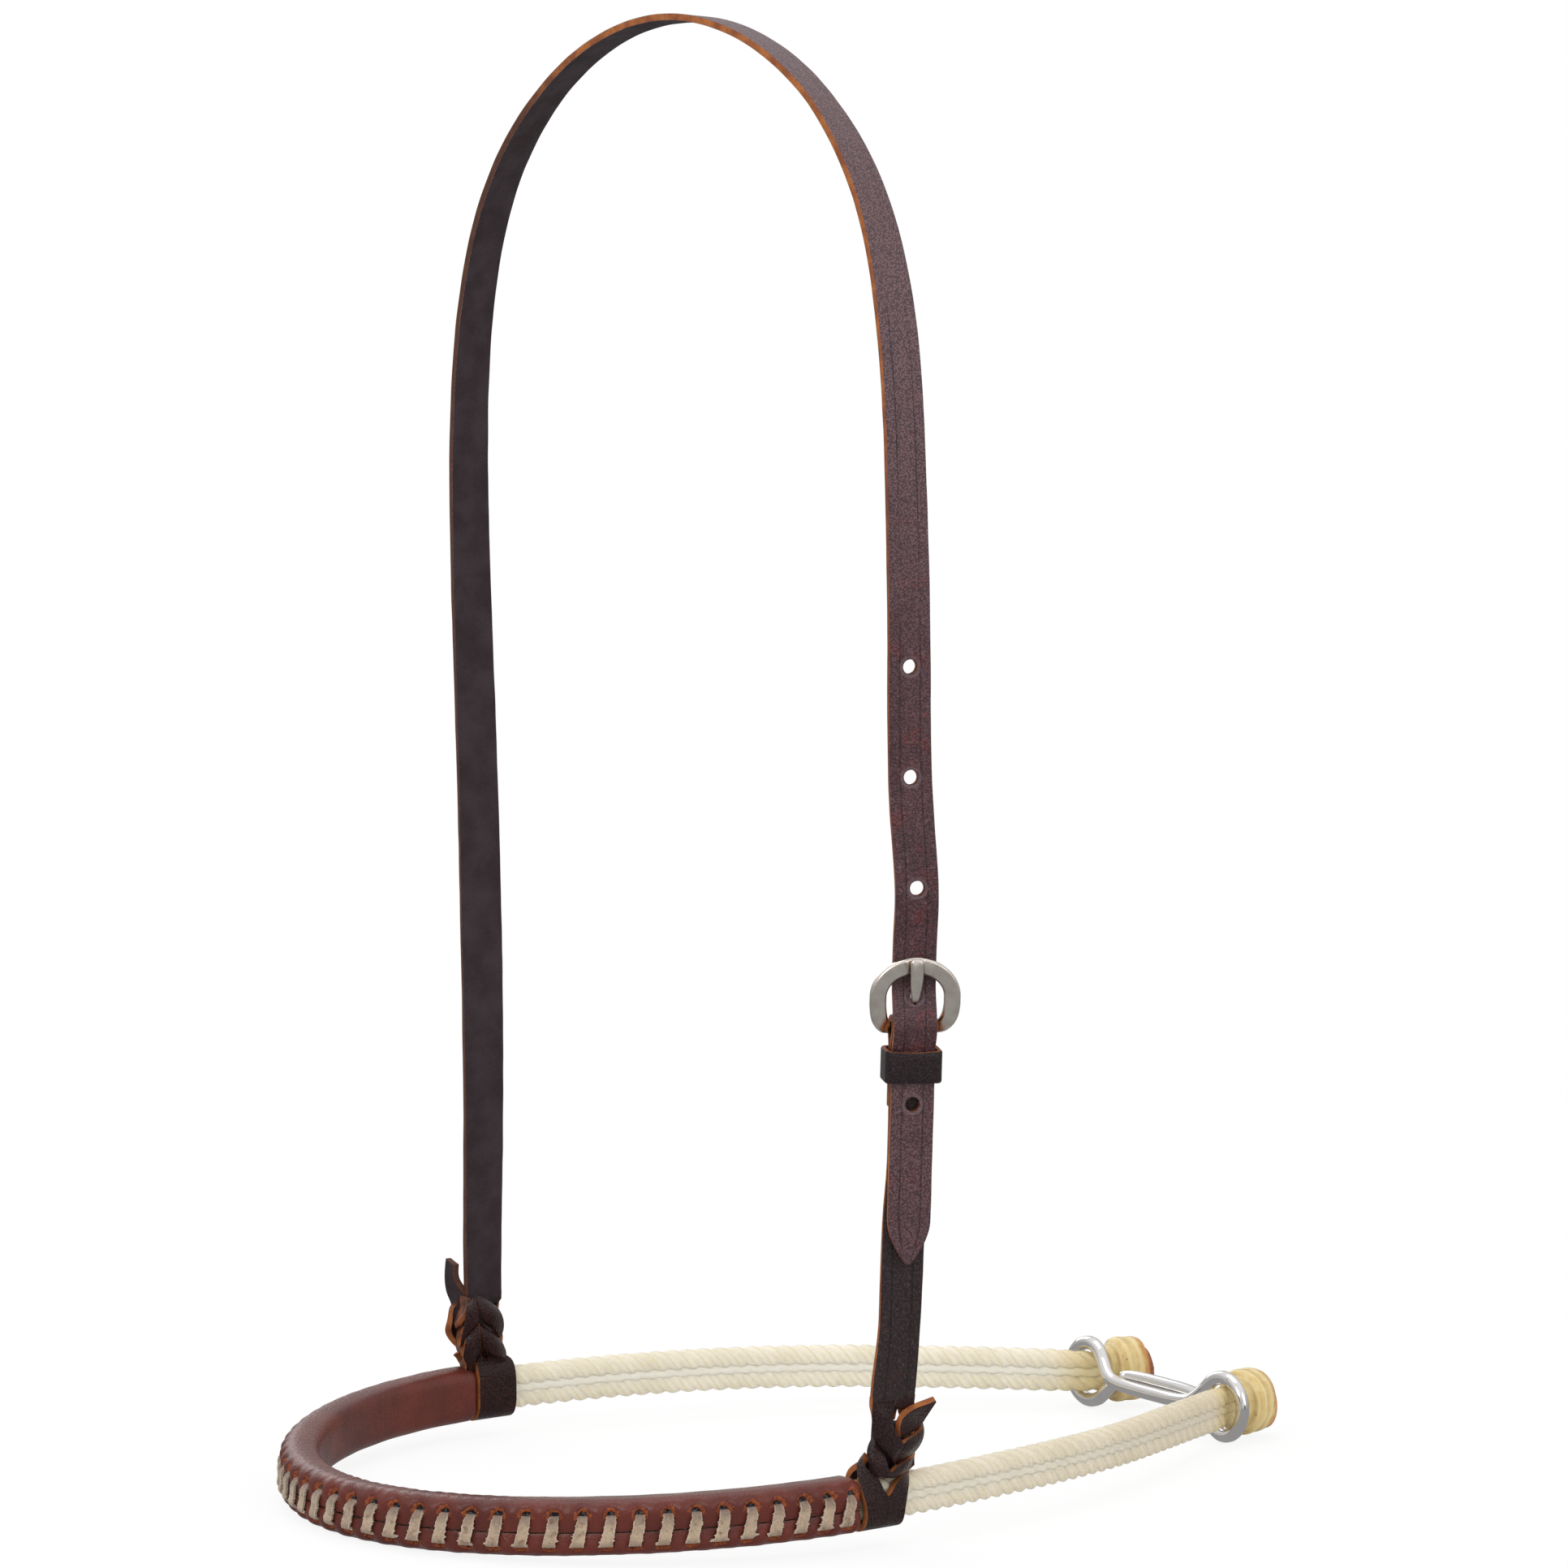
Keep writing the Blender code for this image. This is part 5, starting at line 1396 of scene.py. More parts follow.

# %% [markdown]
# The painted sheen is a lighter coat that stands for the light on the upper run of the crown
# strap, and a little of it is laid low on the near side, round the crown strap's point. The
# pattern of holes repeats by a pitch, so one distance to the nearest hole serves for all five
# rings.


# %% Grain of the straps
def strap_grain(name, tone, creased=False, hole_at=None):
    """Pebbled grain; hole_at is the length along the strap where the tongue's hole is."""
    grain = Finish(name, Specular_IOR_Level=tone["shine"])
    pebbles = grain.pebble(1.7)
    creases = grain.noise(0.9, detail=4.0)
    height = grain.surface.part(2)
    at_tip = height.step(152.0, 138.0) * grain.surface.part(0).step(60.0, 80.0)
    colour = grain.coats(
        tone["base"],
        (grain.noise(0.09, detail=4.0).step(0.3, 0.7), tone["pale"]),
        (grain.noise(0.16, detail=3.0).step(0.54, 0.74) * 0.7, tone["red"]),
        # Painted sheen: lighter high up the crown strap, and a little low on the near side.
        (height.step(215.0, 370.0) * 0.75 + at_tip * 0.3, tone["painted_sheen"]),
        (creases.step(0.54, 0.72) * 0.6, tone["grey"]),
        (pebbles.step(0.34, 0.60) * 0.65, tone["dark"]),
    )
    relief = pebbles * -0.16 + creases * 0.26
    if creased:
        across = grain.own_map().part(0) - STRAP_WIDTH / 2
        from_line = (across.size() - (STRAP_WIDTH / 2 - CREASE_INSET)).size()
        line = from_line.step(0.32, 0.05) * grain.noise(0.02, detail=1.0).step(0.36, 0.52)
        colour = grain.coats(colour, (line * 0.6, tone["dark"]))
        relief = relief - line * 0.16
    if hole_at is not None:
        length = grain.own_map().part(1)
        run = (length - hole_at + HOLE_PITCH * 10).from_repeat(HOLE_PITCH)
        first = length.step(hole_at - 3.5 * HOLE_PITCH, hole_at - 3.4 * HOLE_PITCH)
        within = first * length.step(hole_at + 1.5 * HOLE_PITCH, hole_at + 1.4 * HOLE_PITCH)
        squared = run * run + across * across
        ring = squared.step(5.0, 6.2) * (1 - squared.step(8.0, 11.5)) * within
        colour = grain.coats(colour, (ring * 0.35, tone["grey"]))
        relief = relief + squared.step(11.0, 5.0) * within * -0.18
    grain.wear(colour, creases * 0.30 + tone["dullness"], relief)
    return grain


knot_grain = strap_grain("knot_grain", KNOTTED)

# %% [markdown]
# The flesh side is dark and fuzzy. A cut edge shows the undyed orange-brown core, which has
# gone dark with handling along the far strap, and a little on the near one above the buckle.

# %% Flesh side and cut edges
flesh = Finish("strap_flesh_side", Roughness=0.88, Specular_IOR_Level=0.28)
flesh_nap = flesh.noise(2.2, detail=5.0, roughness=0.7)
flesh_colour = flesh.coats(
    (0.038, 0.026, 0.030),
    (flesh.noise(0.12, detail=3.0).step(0.3, 0.7), (0.025, 0.015, 0.017)),
    (flesh_nap.step(0.55, 0.75) * 0.5, (0.075, 0.058, 0.060)),
)
flesh.wear(flesh_colour, None, flesh_nap * 0.22)

cut_edge = Finish("strap_cut_edge", Roughness=0.72, Specular_IOR_Level=0.3)
cut_fibre = cut_edge.noise(1.4, detail=4.0)
to_the_side, height_of_cut = cut_edge.surface.part(0), cut_edge.surface.part(2)
handled = to_the_side.step(-40.0, -80.0) * height_of_cut.step(34.0, 44.0)
above_buckle = height_of_cut.step(340.0, 300.0) * height_of_cut.step(158.0, 166.0)
rubbed = to_the_side.step(60.0, 85.0) * above_buckle
cut_colour = cut_edge.coats(
    (0.38, 0.125, 0.030),
    (cut_edge.noise(0.2, detail=2.0).step(0.3, 0.7), (0.22, 0.062, 0.020)),
    (cut_fibre.step(0.5, 0.75) * 0.6, (0.17, 0.05, 0.018)),
    (handled * 0.85, (0.05, 0.022, 0.016)),
    (rubbed * 0.6, (0.12, 0.03, 0.018)),
)
cut_edge.wear(cut_colour, None, cut_fibre * 0.25)

twisted_edge = nap_finish(
    "twisted_edge", 0.6, 0.35, 0.35, 4.0, (0.035, 0.012, 0.009), (0.20, 0.062, 0.022), 0.5, 0.35, 0.62
)
hole_bore = nap_finish(
    "punched_hole", 0.9, 0.1, 1.8, 3.0, (0.05, 0.02, 0.012), (0.27, 0.085, 0.025), 0.2, 0.4, 0.65
)
print("sides of the straps' leather are ready")

# %% [markdown]
# ## The straps' runs
# The crown strap leaves the far knot, goes over the poll and comes down behind the buckle's
# rim and over its bar to its point. The cheek strap comes up from the near knot and folds back
# over the bar. Their layers are kept a thickness apart, as on the CAD model.

# %% Layers of leather at the buckle
CLEARANCE = 0.3
LAYER_STEP = STRAP_THICKNESS + CLEARANCE
FOLD_RADIUS = 2.8
FRONT_LAYER = BAR_LEVEL + LAYER_STEP / 2
REAR_LAYER = FRONT_LAYER - LAYER_STEP
CROWN_LAYER = FRONT_LAYER + LAYER_STEP
LAYERS_CLOSE = 5.5
FOLD_STEPS = 6


def front_layer(below):
    """Height and distance out of the cheek strap's front layer, below the bar."""
    spread = 1 - ease(below / LAYERS_CLOSE)
    return np.array([-below, FRONT_LAYER + (BAR_LEVEL + FOLD_RADIUS - FRONT_LAYER) * spread])


def crown_layer(below):
    """The crown strap lies a layer's step outside the cheek strap."""
    slope = unit(front_layer(below - 0.05) - front_layer(below + 0.05))
    return front_layer(below) + np.array([-slope[1], slope[0]]) * LAYER_STEP


CLOSING_STEPS = [LAYERS_CLOSE * step / FOLD_STEPS for step in range(1, FOLD_STEPS + 1)]


def straight_marks(stop):
    return [LAYERS_CLOSE + (stop - LAYERS_CLOSE) * step / 4 for step in range(1, 5)]


print("layers out from the buckle's middle", REAR_LAYER, FRONT_LAYER, CROWN_LAYER)

# %% Runs of the crown strap and the cheek strap
CROWN_POINTS = [
    (-100.2, 24.0), (-100.6, 40.0), (-100.2, 70.0), (-101.2, 141.0), (-104.6, 214.0), (-107.4, 280.0),
    (-103.8, 326.0), (-90.5, 364.0), (-65.2, 393.2), (-34.0, 411.6), (0.0, 419.2), (35.0, 415.2),
    (67.0, 399.4), (89.6, 374.2), (102.3, 337.0), (106.6, 296.0), (108.6, 244.0), (110.4, 200.0),
]
CROWN_TWISTS_DEG = [0, -4, -8, -21, -12, -4, 3, 8, 9, 3, -6, -12, -16, -9, 6, 8, 18, 24]
CHEEK_FEET = [(107.8, 84.0), (106.2, 58.0), (104.6, 38.0), (102.8, 24.0)]
CHEEK_TWISTS_DEG = [BUCKLE_TWIST_DEG, 25, 17, 10, 4]
CHEEK_END_BELOW = 23.0
STRAIGHT_BELOW = 38.0
TIP_BELOW_BAR = 68.0
RIM_WIDTH = 4.7
RIM_TOP_HEIGHT = 18.55
CROWN_BEHIND_RIM = -1.0


def crown_run():
    points = [plane.at(across, height) for across, height in CROWN_POINTS]
    leaves_rim = RIM_TOP_HEIGHT - RIM_WIDTH
    behind_rim = (RIM_TOP_HEIGHT + RIM_WIDTH, RIM_TOP_HEIGHT, leaves_rim)
    seated = [(2 * RIM_TOP_HEIGHT, 0.0)] + [(height, CROWN_BEHIND_RIM) for height in behind_rim]
    over_bar = BAR_LEVEL + FOLD_RADIUS + LAYER_STEP
    for step in range(1, FOLD_STEPS + 1):
        share = step / FOLD_STEPS
        out = CROWN_BEHIND_RIM + (over_bar - CROWN_BEHIND_RIM) * ease(share)
        seated.append((leaves_rim * (1 - share), out))
    seated += [crown_layer(below) for below in CLOSING_STEPS]
    seated += [(-below, CROWN_LAYER) for below in straight_marks(STRAIGHT_BELOW) + [TIP_BELOW_BAR]]
    sides = plane.twisted_sides(points, CROWN_TWISTS_DEG)
    points += [seat.at(height, out) for height, out in seated]
    return Ribbon(points, sides + [seat.side] * len(seated))


def cheek_run():
    front = [front_layer(below) for below in CLOSING_STEPS]
    rear = [np.array([height, 2 * BAR_LEVEL - out]) for height, out in front]
    folded = [(-below, REAR_LAYER) for below in reversed(straight_marks(CHEEK_END_BELOW))] + rear[::-1]
    for step in range(FOLD_STEPS + 1):
        angle = math.pi * step / FOLD_STEPS
        folded.append((FOLD_RADIUS * math.sin(angle), BAR_LEVEL - FOLD_RADIUS * math.cos(angle)))
    folded += front + [(-below, FRONT_LAYER) for below in straight_marks(STRAIGHT_BELOW)]
    points = [seat.at(height, out) for height, out in folded]
    feet = [plane.at(*foot) for foot in CHEEK_FEET]
    sides = [seat.side] * len(points)
    sides += plane.twisted_sides([points[-1]] + feet, CHEEK_TWISTS_DEG)[1:]
    return Ribbon(points + feet, sides)


crown = crown_run()
cheek = cheek_run()
print("crown strap length", round(crown.route.length), "cheek strap length", round(cheek.route.length))

# %% [markdown]
# ## Crown strap
# The strap is a laid grid with a little waviness, thickened about its middle. Its end is cut to
# a point. The holes are punched with a Boolean, because a punch leaves a clean round wall,
# and the punch carries the finish of the hole's wall.

# %% Straps and punched holes
STRAP_COLUMNS = 10
STRAP_SMOOTH_DEG = 50.0
HOLE_DIAMETER = 4.2
PUNCH_LENGTH = 8.0
FACE_UNEVEN = 0.05
EDGE_UNEVEN = 0.10


def strap_at(ribbon, start, stop, width_at, waviness, flare_at=lambda distance: 0.0):
    """A strap's surface between two lengths of its ribbon."""

    def place_at(around, along):
        distance = start + (stop - start) * along
        middle, ahead, side, grain_side = ribbon.frame(distance)
        aside = (0.5 - around) * width_at(distance) - flare_at(distance) * max(0.0, around * 2 - 1)
        wave = waviness * ripple((distance, 0.0, 0.0), 23.0) * (1 - 2 * abs(around - 0.5))
        wave += FACE_UNEVEN * ripple((distance, aside, 2.0), 5.0)
        uneven = EDGE_UNEVEN * ripple((distance, around * 40.0, 7.0), 9.0)
        return middle + side * (aside + uneven) + grain_side * wave

    return place_at


def make_strap(name, ribbon, start, stop, rows, place_at, grain, rounding):
    strap = laid_grid(name, STRAP_COLUMNS, rows, place_at)
    scale_map(strap, STRAP_WIDTH, stop - start)
    give(strap, grain, flesh, cut_edge)
    face_towards(strap, ribbon.frame(stop / 2)[3])
    thicken(strap, STRAP_THICKNESS, 0.0, rounding, rounded_material=0)
    return strap


def punch(strap, ribbon, places):
    """Cuts holes through a strap; each place is a length along it, the hole's width and length."""
    pegs = []
    for distance, width, length in places:
        middle, ahead, side, grain_side = ribbon.frame(distance)
        deselect()
        size = {"radius": HOLE_DIAMETER / 2 * MM, "depth": PUNCH_LENGTH * MM}
        bpy.ops.mesh.primitive_cylinder_add(vertices=40, **size)
        peg = bpy.context.object
        wide = Vector(side) * width / HOLE_DIAMETER
        turn = Matrix((wide, Vector(ahead) * length / HOLE_DIAMETER, Vector(grain_side))).transposed()
        peg.data.transform(Matrix.Translation(Vector(middle) * MM) @ turn.to_4x4())
        give(peg, hole_bore)
        pegs.append(peg)
    cut_away(strap, join("punch", pegs))


print("straps can be made")

# %% Crown strap with its punched holes
CROWN_START = 3.5
TONGUE_HOLE = 9.5
TONGUE_HOLE_WIDTH = 2.4
TONGUE_HOLE_LENGTH = 5.2
SPARE_HOLES = (-3, -2, -1, 1)
TIP_LENGTH = 12.5
TIP_SHARE = 0.12
crown_length = crown.route.length
tongue_hole = crown.route.near(seat.at(TONGUE_HOLE, 0.0))


def crown_width(distance):
    left = max(0.0, distance - (crown_length - TIP_LENGTH)) / TIP_LENGTH
    return STRAP_WIDTH * (1 - (1 - TIP_SHARE) * left**1.7)


crown_grain = strap_grain("crown_grain", WORN, True, tongue_hole - CROWN_START)
crown_rows = round((crown_length - CROWN_START) / 1.4)
crown_face = strap_at(crown, CROWN_START, crown_length, crown_width, 0.16)
crown_leather = make_strap(
    "crown_leather", crown, CROWN_START, crown_length, crown_rows, crown_face, crown_grain, 0.42
)
holes = [(tongue_hole + count * HOLE_PITCH, HOLE_DIAMETER, HOLE_DIAMETER) for count in SPARE_HOLES]
punch(crown_leather, crown, [(tongue_hole, TONGUE_HOLE_WIDTH, TONGUE_HOLE_LENGTH)] + holes)
finish_piece(crown_leather, "root", ["crown_strap"], STRAP_SMOOTH_DEG)

# %% [markdown]
# ## Cheek strap
# The same leather, folded over the buckle's bar. A long slot in the fold lets the tongue
# through, and it is cut the same way as the holes.

# %% Cheek strap with its fold and tongue slot
KNOT_CUT = 6.5
CHEEK_FLARE = 1.6
FLARE_LENGTH = 26.0
SLOT_WIDTH = 3.8
SLOT_LENGTH = 9.4
SLOT_DEPTH = 9.6
SLOT_ABOVE_BAR = 0.1
cheek_stop = cheek.route.length - KNOT_CUT


def cheek_flare(distance):
    """The strap is pulled wider on one side where the knot's slits start."""
    return CHEEK_FLARE * ease((distance - cheek_stop + FLARE_LENGTH) / FLARE_LENGTH)


cheek_grain = strap_grain("cheek_grain", OILED, True)
cheek_face = strap_at(cheek, 0.0, cheek_stop, lambda distance: STRAP_WIDTH, 0.05, cheek_flare)
cheek_leather = make_strap(
    "cheek_leather", cheek, 0.0, cheek_stop, round(cheek_stop), cheek_face, cheek_grain, 0.35
)

deselect()
bpy.ops.mesh.primitive_cube_add(size=1.0)
slot_cutter = bpy.context.object
slot_axes = (seat.side * SLOT_WIDTH, seat.rise * SLOT_LENGTH, seat.face * SLOT_DEPTH)
slot_turn = Matrix(slot_axes).transposed() * MM
slot_place = Vector(seat.at(SLOT_ABOVE_BAR, BAR_LEVEL)) * MM
slot_cutter.data.transform(Matrix.Translation(slot_place) @ slot_turn.to_4x4())
give(slot_cutter, hole_bore)
cut_away(cheek_leather, slot_cutter)
finish_piece(cheek_leather, "root", ["cheek_strap"], STRAP_SMOOTH_DEG)

# %% [markdown]
# ## Bleed knots
# Each hanger ends in a bleed knot: the strap goes round both ropes, and its end is threaded
# through slits in itself, so that V-shaped cut edges stack up the front. A knot like this can't
# be extruded, so each visible fold is a sheet through a small net of points, written in the
# hanger's own directions: along the rope, outward and up. Splines both ways make it smooth.

# %% A sheet through a net of points
KNOT_MAP = (12.0, 30.0)
KNOT_EDGE = 0.38
KNOT_LEATHER = (1.9, knot_grain, flesh, cut_edge)
INSIDE_LEATHER = (3.0, flesh, flesh, flesh)
TWISTED_LEATHER = (1.2, twisted_edge, twisted_edge, cut_edge)


def knot_sheet(hanger, name, net, across, along, first_rows=(), back_shift=None, leather=KNOT_LEATHER):
    """A sheet through rows of points, of a thickness and three finishes; behind, its grain is inwards."""
    thickness, *finishes = leather
    middle, ahead, outward, up = noseband.frame(hanger)
    grain_side = -outward if back_shift else outward
    if back_shift:
        middle = middle + ahead * back_shift[0] + outward * back_shift[1]
    rows = [*first_rows, *([middle + ahead * a + outward * o + up * u for a, o, u in row] for row in net)]
    spread = np.array([natural_spline(row, across + 1) for row in rows])
    surface = np.array([natural_spline(spread[:, column], along + 1) for column in range(across + 1)])

    def place_at(around, down):
        return surface[round(around * across), round(down * along)]

    piece = laid_grid(name, across, along, place_at)
    scale_map(piece, *KNOT_MAP)
    give(piece, *finishes)
    face_towards(piece, grain_side)
    thicken(piece, thickness, -1.0, KNOT_EDGE, rounded_material=2)
    return piece


print("knot sheets can be made")

# %% [markdown]
# From the front a knot is a left and a right arm that leave the strap and meet low down, a
# broad fold that lies across under them, the tail that comes up through the slit, and the rim
# of the band. A dull core behind them keeps light from showing between the folds.

# %% Nets of the knot's front
FRONT_LEFT = [
    [(-8.0, 8.6, 28.0), (-5.4, 9.6, 27.9), (-1.0, 9.8, 26.4)],
    [(-7.5, 8.0, 24.3), (-5.1, 9.8, 23.9), (-1.2, 10.2, 23.6)],
    [(-6.5, 7.6, 21.1), (-4.1, 9.8, 20.5), (0.0, 10.4, 20.6)],
    [(-4.0, 7.6, 17.4), (-1.5, 9.6, 17.2), (2.3, 10.2, 17.3)],
    [(-1.2, 7.0, 14.5), (0.0, 8.4, 13.9), (2.3, 8.6, 14.7)],
    [(2.3, 5.0, 10.8), (2.5, 5.6, 10.7), (3.6, 5.6, 11.1)],
]
FRONT_RIGHT = [
    [(3.5, 8.2, 27.2), (6.3, 8.2, 26.1), (9.2, 7.4, 26.3)],
    [(9.0, 6.6, 23.6), (11.1, 6.2, 22.5), (12.9, 5.6, 22.2)],
    [(11.8, 7.2, 20.9), (12.9, 6.4, 20.1), (13.9, 5.4, 19.2)],
    [(7.0, 9.0, 19.1), (9.2, 8.6, 17.7), (12.7, 6.2, 16.7)],
    [(2.5, 10.0, 17.3), (5.6, 9.4, 15.8), (10.6, 6.2, 14.1)],
    [(2.5, 8.4, 14.6), (4.2, 8.0, 13.7), (8.6, 5.4, 12.2)],
    [(3.8, 5.4, 11.0), (4.3, 5.0, 10.5), (5.6, 4.0, 10.0)],
]
MIDDLE_FOLD = [
    [(-2.8, 2.6, 19.4), (-3.5, 4.6, 17.9), (-2.6, 6.2, 15.5), (-1.6, 7.0, 13.3), (0.3, 7.4, 9.2),
     (2.3, 7.2, 10.2), (4.5, 6.8, 10.9), (9.3, 5.4, 11.7), (13.3, 2.0, 11.7)],
    [(-6.0, 3.8, 14.6), (-5.7, 5.8, 13.3), (-4.2, 6.8, 11.8), (-2.4, 7.4, 10.2), (-0.3, 7.4, 8.3),
     (1.8, 7.3, 8.7), (4.1, 7.0, 9.3), (8.1, 5.6, 9.9), (11.2, 3.4, 10.2)],
    [(-5.3, 4.2, 9.9), (-4.9, 5.2, 9.1), (-4.0, 5.8, 8.3), (-2.3, 6.1, 7.7), (0.2, 6.2, 7.2),
     (2.0, 6.2, 7.1), (4.0, 6.0, 7.3), (6.5, 5.2, 7.6), (9.2, 4.0, 7.9)],
    [(-4.3, 1.6, 8.6), (-4.0, 1.8, 8.2), (-3.2, 2.0, 7.7), (-1.9, 2.2, 7.3), (0.2, 2.2, 7.0),
     (1.8, 2.2, 6.9), (3.6, 2.2, 7.0), (5.6, 2.0, 7.1), (7.8, 1.6, 7.3)],
]
TAIL = [
    [(2.5, 8.6, 19.2), (2.1, 9.0, 20.6), (1.5, 9.6, 22.2)],
    [(7.1, 7.8, 19.7), (4.7, 9.0, 22.1), (1.8, 10.6, 25.0)],
    [(10.7, 7.4, 20.9), (7.4, 9.4, 23.8), (3.7, 11.4, 26.9)],
    [(11.2, 8.4, 22.6), (9.2, 10.0, 25.1), (6.9, 11.8, 28.0)],
    [(11.8, 10.4, 25.6), (11.2, 11.2, 27.0), (10.3, 12.2, 28.7)],
    [(12.5, 12.4, 28.6), (12.4, 12.6, 28.9), (12.1, 12.8, 29.3)],
]
WRAP_RIM = [
    [(-3.3, -0.6, 14.1), (-6.3, 2.4, 12.5), (-5.8, 4.2, 10.1), (-3.2, 5.2, 7.7), (0.7, 5.8, 1.9),
     (3.1, 5.7, 4.6), (5.9, 5.0, 6.4), (9.7, 3.0, 6.9), (12.4, 0.2, 6.9)],
    [(-7.9, 1.6, 11.1), (-8.2, 3.2, 9.7), (-6.3, 4.6, 7.7), (-3.1, 5.4, 5.2), (0.9, 5.8, 1.1),
     (3.5, 5.7, 2.7), (6.2, 5.3, 4.1), (8.9, 4.0, 5.2), (10.8, 2.4, 5.5)],
    [(-8.9, 4.4, 6.1), (-7.3, 5.0, 4.9), (-4.9, 5.4, 3.5), (-2.1, 5.6, 2.2), (0.9, 5.8, 0.2),
     (3.5, 5.7, 0.9), (6.0, 5.5, 1.6), (7.9, 5.0, 2.7), (8.8, 4.6, 3.3)],
]
KNOT_CORE = [
    [(-3.0, 4.6, 23.0), (2.5, 5.0, 22.6), (7.6, 4.4, 22.0)],
    [(-2.8, 4.0, 19.0), (2.8, 4.4, 19.0), (8.2, 3.8, 19.0)],
    [(-2.5, 3.2, 15.0), (3.0, 3.8, 15.0), (8.5, 3.0, 15.0)],
    [(-2.0, 2.4, 9.5), (2.5, 2.6, 9.5), (7.0, 2.4, 9.5)],
]
print("rows in the front nets", len(FRONT_LEFT), len(FRONT_RIGHT), len(MIDDLE_FOLD))

# %% [markdown]
# Behind, the arms cross over each other. The photograph shows this side on the far knot only,
# and the near knot's back is made the same.

# %% Nets of the knot's back
BACK_UPPER = [
    [(7.5, -2.6, 30.1), (3.6, -2.8, 28.2), (-0.1, -2.6, 25.3)],
    [(8.3, -4.2, 28.6), (4.0, -4.8, 26.7), (-0.6, -3.6, 23.7)],
    [(8.4, -5.0, 26.3), (4.4, -6.0, 24.3), (-1.3, -3.8, 20.8)],
    [(7.8, -5.0, 24.2), (4.3, -5.8, 22.0), (-1.2, -3.6, 18.5)],
    [(6.3, -4.0, 21.8), (3.5, -4.6, 19.9), (-0.5, -3.2, 16.4)],
]
BACK_ARM = [
    [(9.9, -2.4, 28.9), (8.9, -2.8, 29.6), (7.4, -2.8, 30.0)],
    [(12.5, -4.2, 26.7), (10.8, -5.2, 27.6), (8.3, -4.6, 27.2)],
    [(13.3, -4.6, 24.0), (11.6, -5.8, 24.5), (8.0, -5.0, 24.5)],
    [(14.0, -4.4, 20.2), (12.4, -5.2, 20.9), (8.5, -4.6, 22.1)],
    [(14.2, -3.8, 17.5), (13.3, -4.2, 17.8), (11.5, -4.0, 19.3)],
    [(14.2, -3.2, 15.0), (14.0, -3.4, 15.1), (13.7, -3.4, 15.2)],
]
BACK_LOW_ARM = [
    [(11.7, -3.4, 19.6), (9.8, -3.6, 20.7), (7.5, -3.4, 21.9)],
    [(13.1, -4.2, 17.4), (11.2, -5.0, 18.5), (8.0, -4.8, 19.0)],
    [(13.8, -4.4, 14.5), (11.8, -5.6, 15.2), (7.7, -5.0, 15.2)],
    [(13.9, -4.2, 12.2), (12.0, -5.2, 12.3), (7.7, -4.4, 12.8)],
    [(12.5, -3.6, 9.6), (11.1, -4.0, 9.7), (8.6, -3.6, 10.5)],
    [(12.0, -2.6, 7.3), (10.6, -3.0, 6.8), (8.2, -3.0, 6.4)],
]
BACK_LOWER = [
    [(7.5, -3.4, 21.9), (6.4, -3.6, 21.5), (3.8, -3.8, 19.7), (-0.2, -3.2, 16.6)],
    [(7.7, -4.8, 19.2), (6.4, -5.6, 18.9), (2.8, -5.6, 17.2), (-1.2, -3.8, 14.1)],
    [(7.4, -5.0, 16.1), (6.1, -6.2, 15.8), (2.3, -6.2, 14.2), (-2.0, -4.0, 11.2)],
    [(5.9, -4.2, 12.7), (4.5, -5.4, 12.4), (1.5, -5.6, 11.3), (-1.8, -3.8, 9.2)],
    [(4.2, -3.4, 10.7), (2.7, -4.0, 10.2), (0.6, -4.2, 9.4), (-1.6, -3.4, 8.1)],
    [(4.4, -2.8, 8.6), (2.8, -3.2, 8.0), (0.6, -3.4, 7.4), (-1.4, -2.8, 6.8)],
    [(4.8, -0.4, 6.9), (2.6, -0.6, 6.0), (-0.4, -0.6, 5.2), (-3.4, -0.4, 4.8)],
]
print("rows in the back nets", len(BACK_UPPER), len(BACK_ARM), len(BACK_LOW_ARM), len(BACK_LOWER))

# %% [markdown]
# The far knot shows its side too: three twisted layers, with their cut edges outwards, and a
# tail that stands up against the strap.

# %% Nets of the far knot's side and tail
SIDE_TWIST = [
    [(7.1, 7.5, 28.5), (8.9, 3.0, 28.9), (10.6, -1.5, 29.4)],
    [(7.9, 7.5, 25.1), (9.5, 3.0, 25.9), (11.2, -2.0, 26.7)],
    [(9.7, 7.0, 22.4), (11.4, 2.5, 23.1), (12.7, -2.2, 24.3)],
    [(10.5, 6.5, 20.7), (12.2, 2.5, 21.1), (13.7, -1.5, 22.2)],
    [(10.1, 5.5, 18.7), (11.2, 3.5, 19.3), (12.3, 1.5, 20.0)],
]
SIDE_MIDDLE = [
    [(7.4, 5.5, 22.4), (9.2, 2.0, 23.3), (11.4, -2.2, 24.5)],
    [(9.3, 6.0, 19.1), (10.7, 2.0, 19.9), (12.2, -2.6, 21.2)],
    [(9.8, 6.0, 16.1), (11.8, 1.5, 16.9), (13.0, -2.8, 18.3)],
    [(9.8, 6.0, 13.4), (11.9, 1.5, 14.2), (13.7, -2.8, 15.2)],
    [(8.9, 5.0, 9.9), (10.8, 1.5, 10.8), (12.9, -2.6, 12.0)],
]
SIDE_LOWER = [
    [(8.0, 5.0, 13.0), (10.0, 1.5, 14.0), (12.3, -2.6, 15.1)],
    [(8.8, 5.0, 10.6), (10.8, 1.0, 11.5), (12.5, -2.8, 12.3)],
    [(9.4, 4.4, 7.9), (10.8, 1.0, 8.6), (11.5, -2.4, 9.1)],
    [(9.4, 3.8, 5.8), (10.4, 1.0, 6.2), (11.0, -2.0, 6.6)],
]
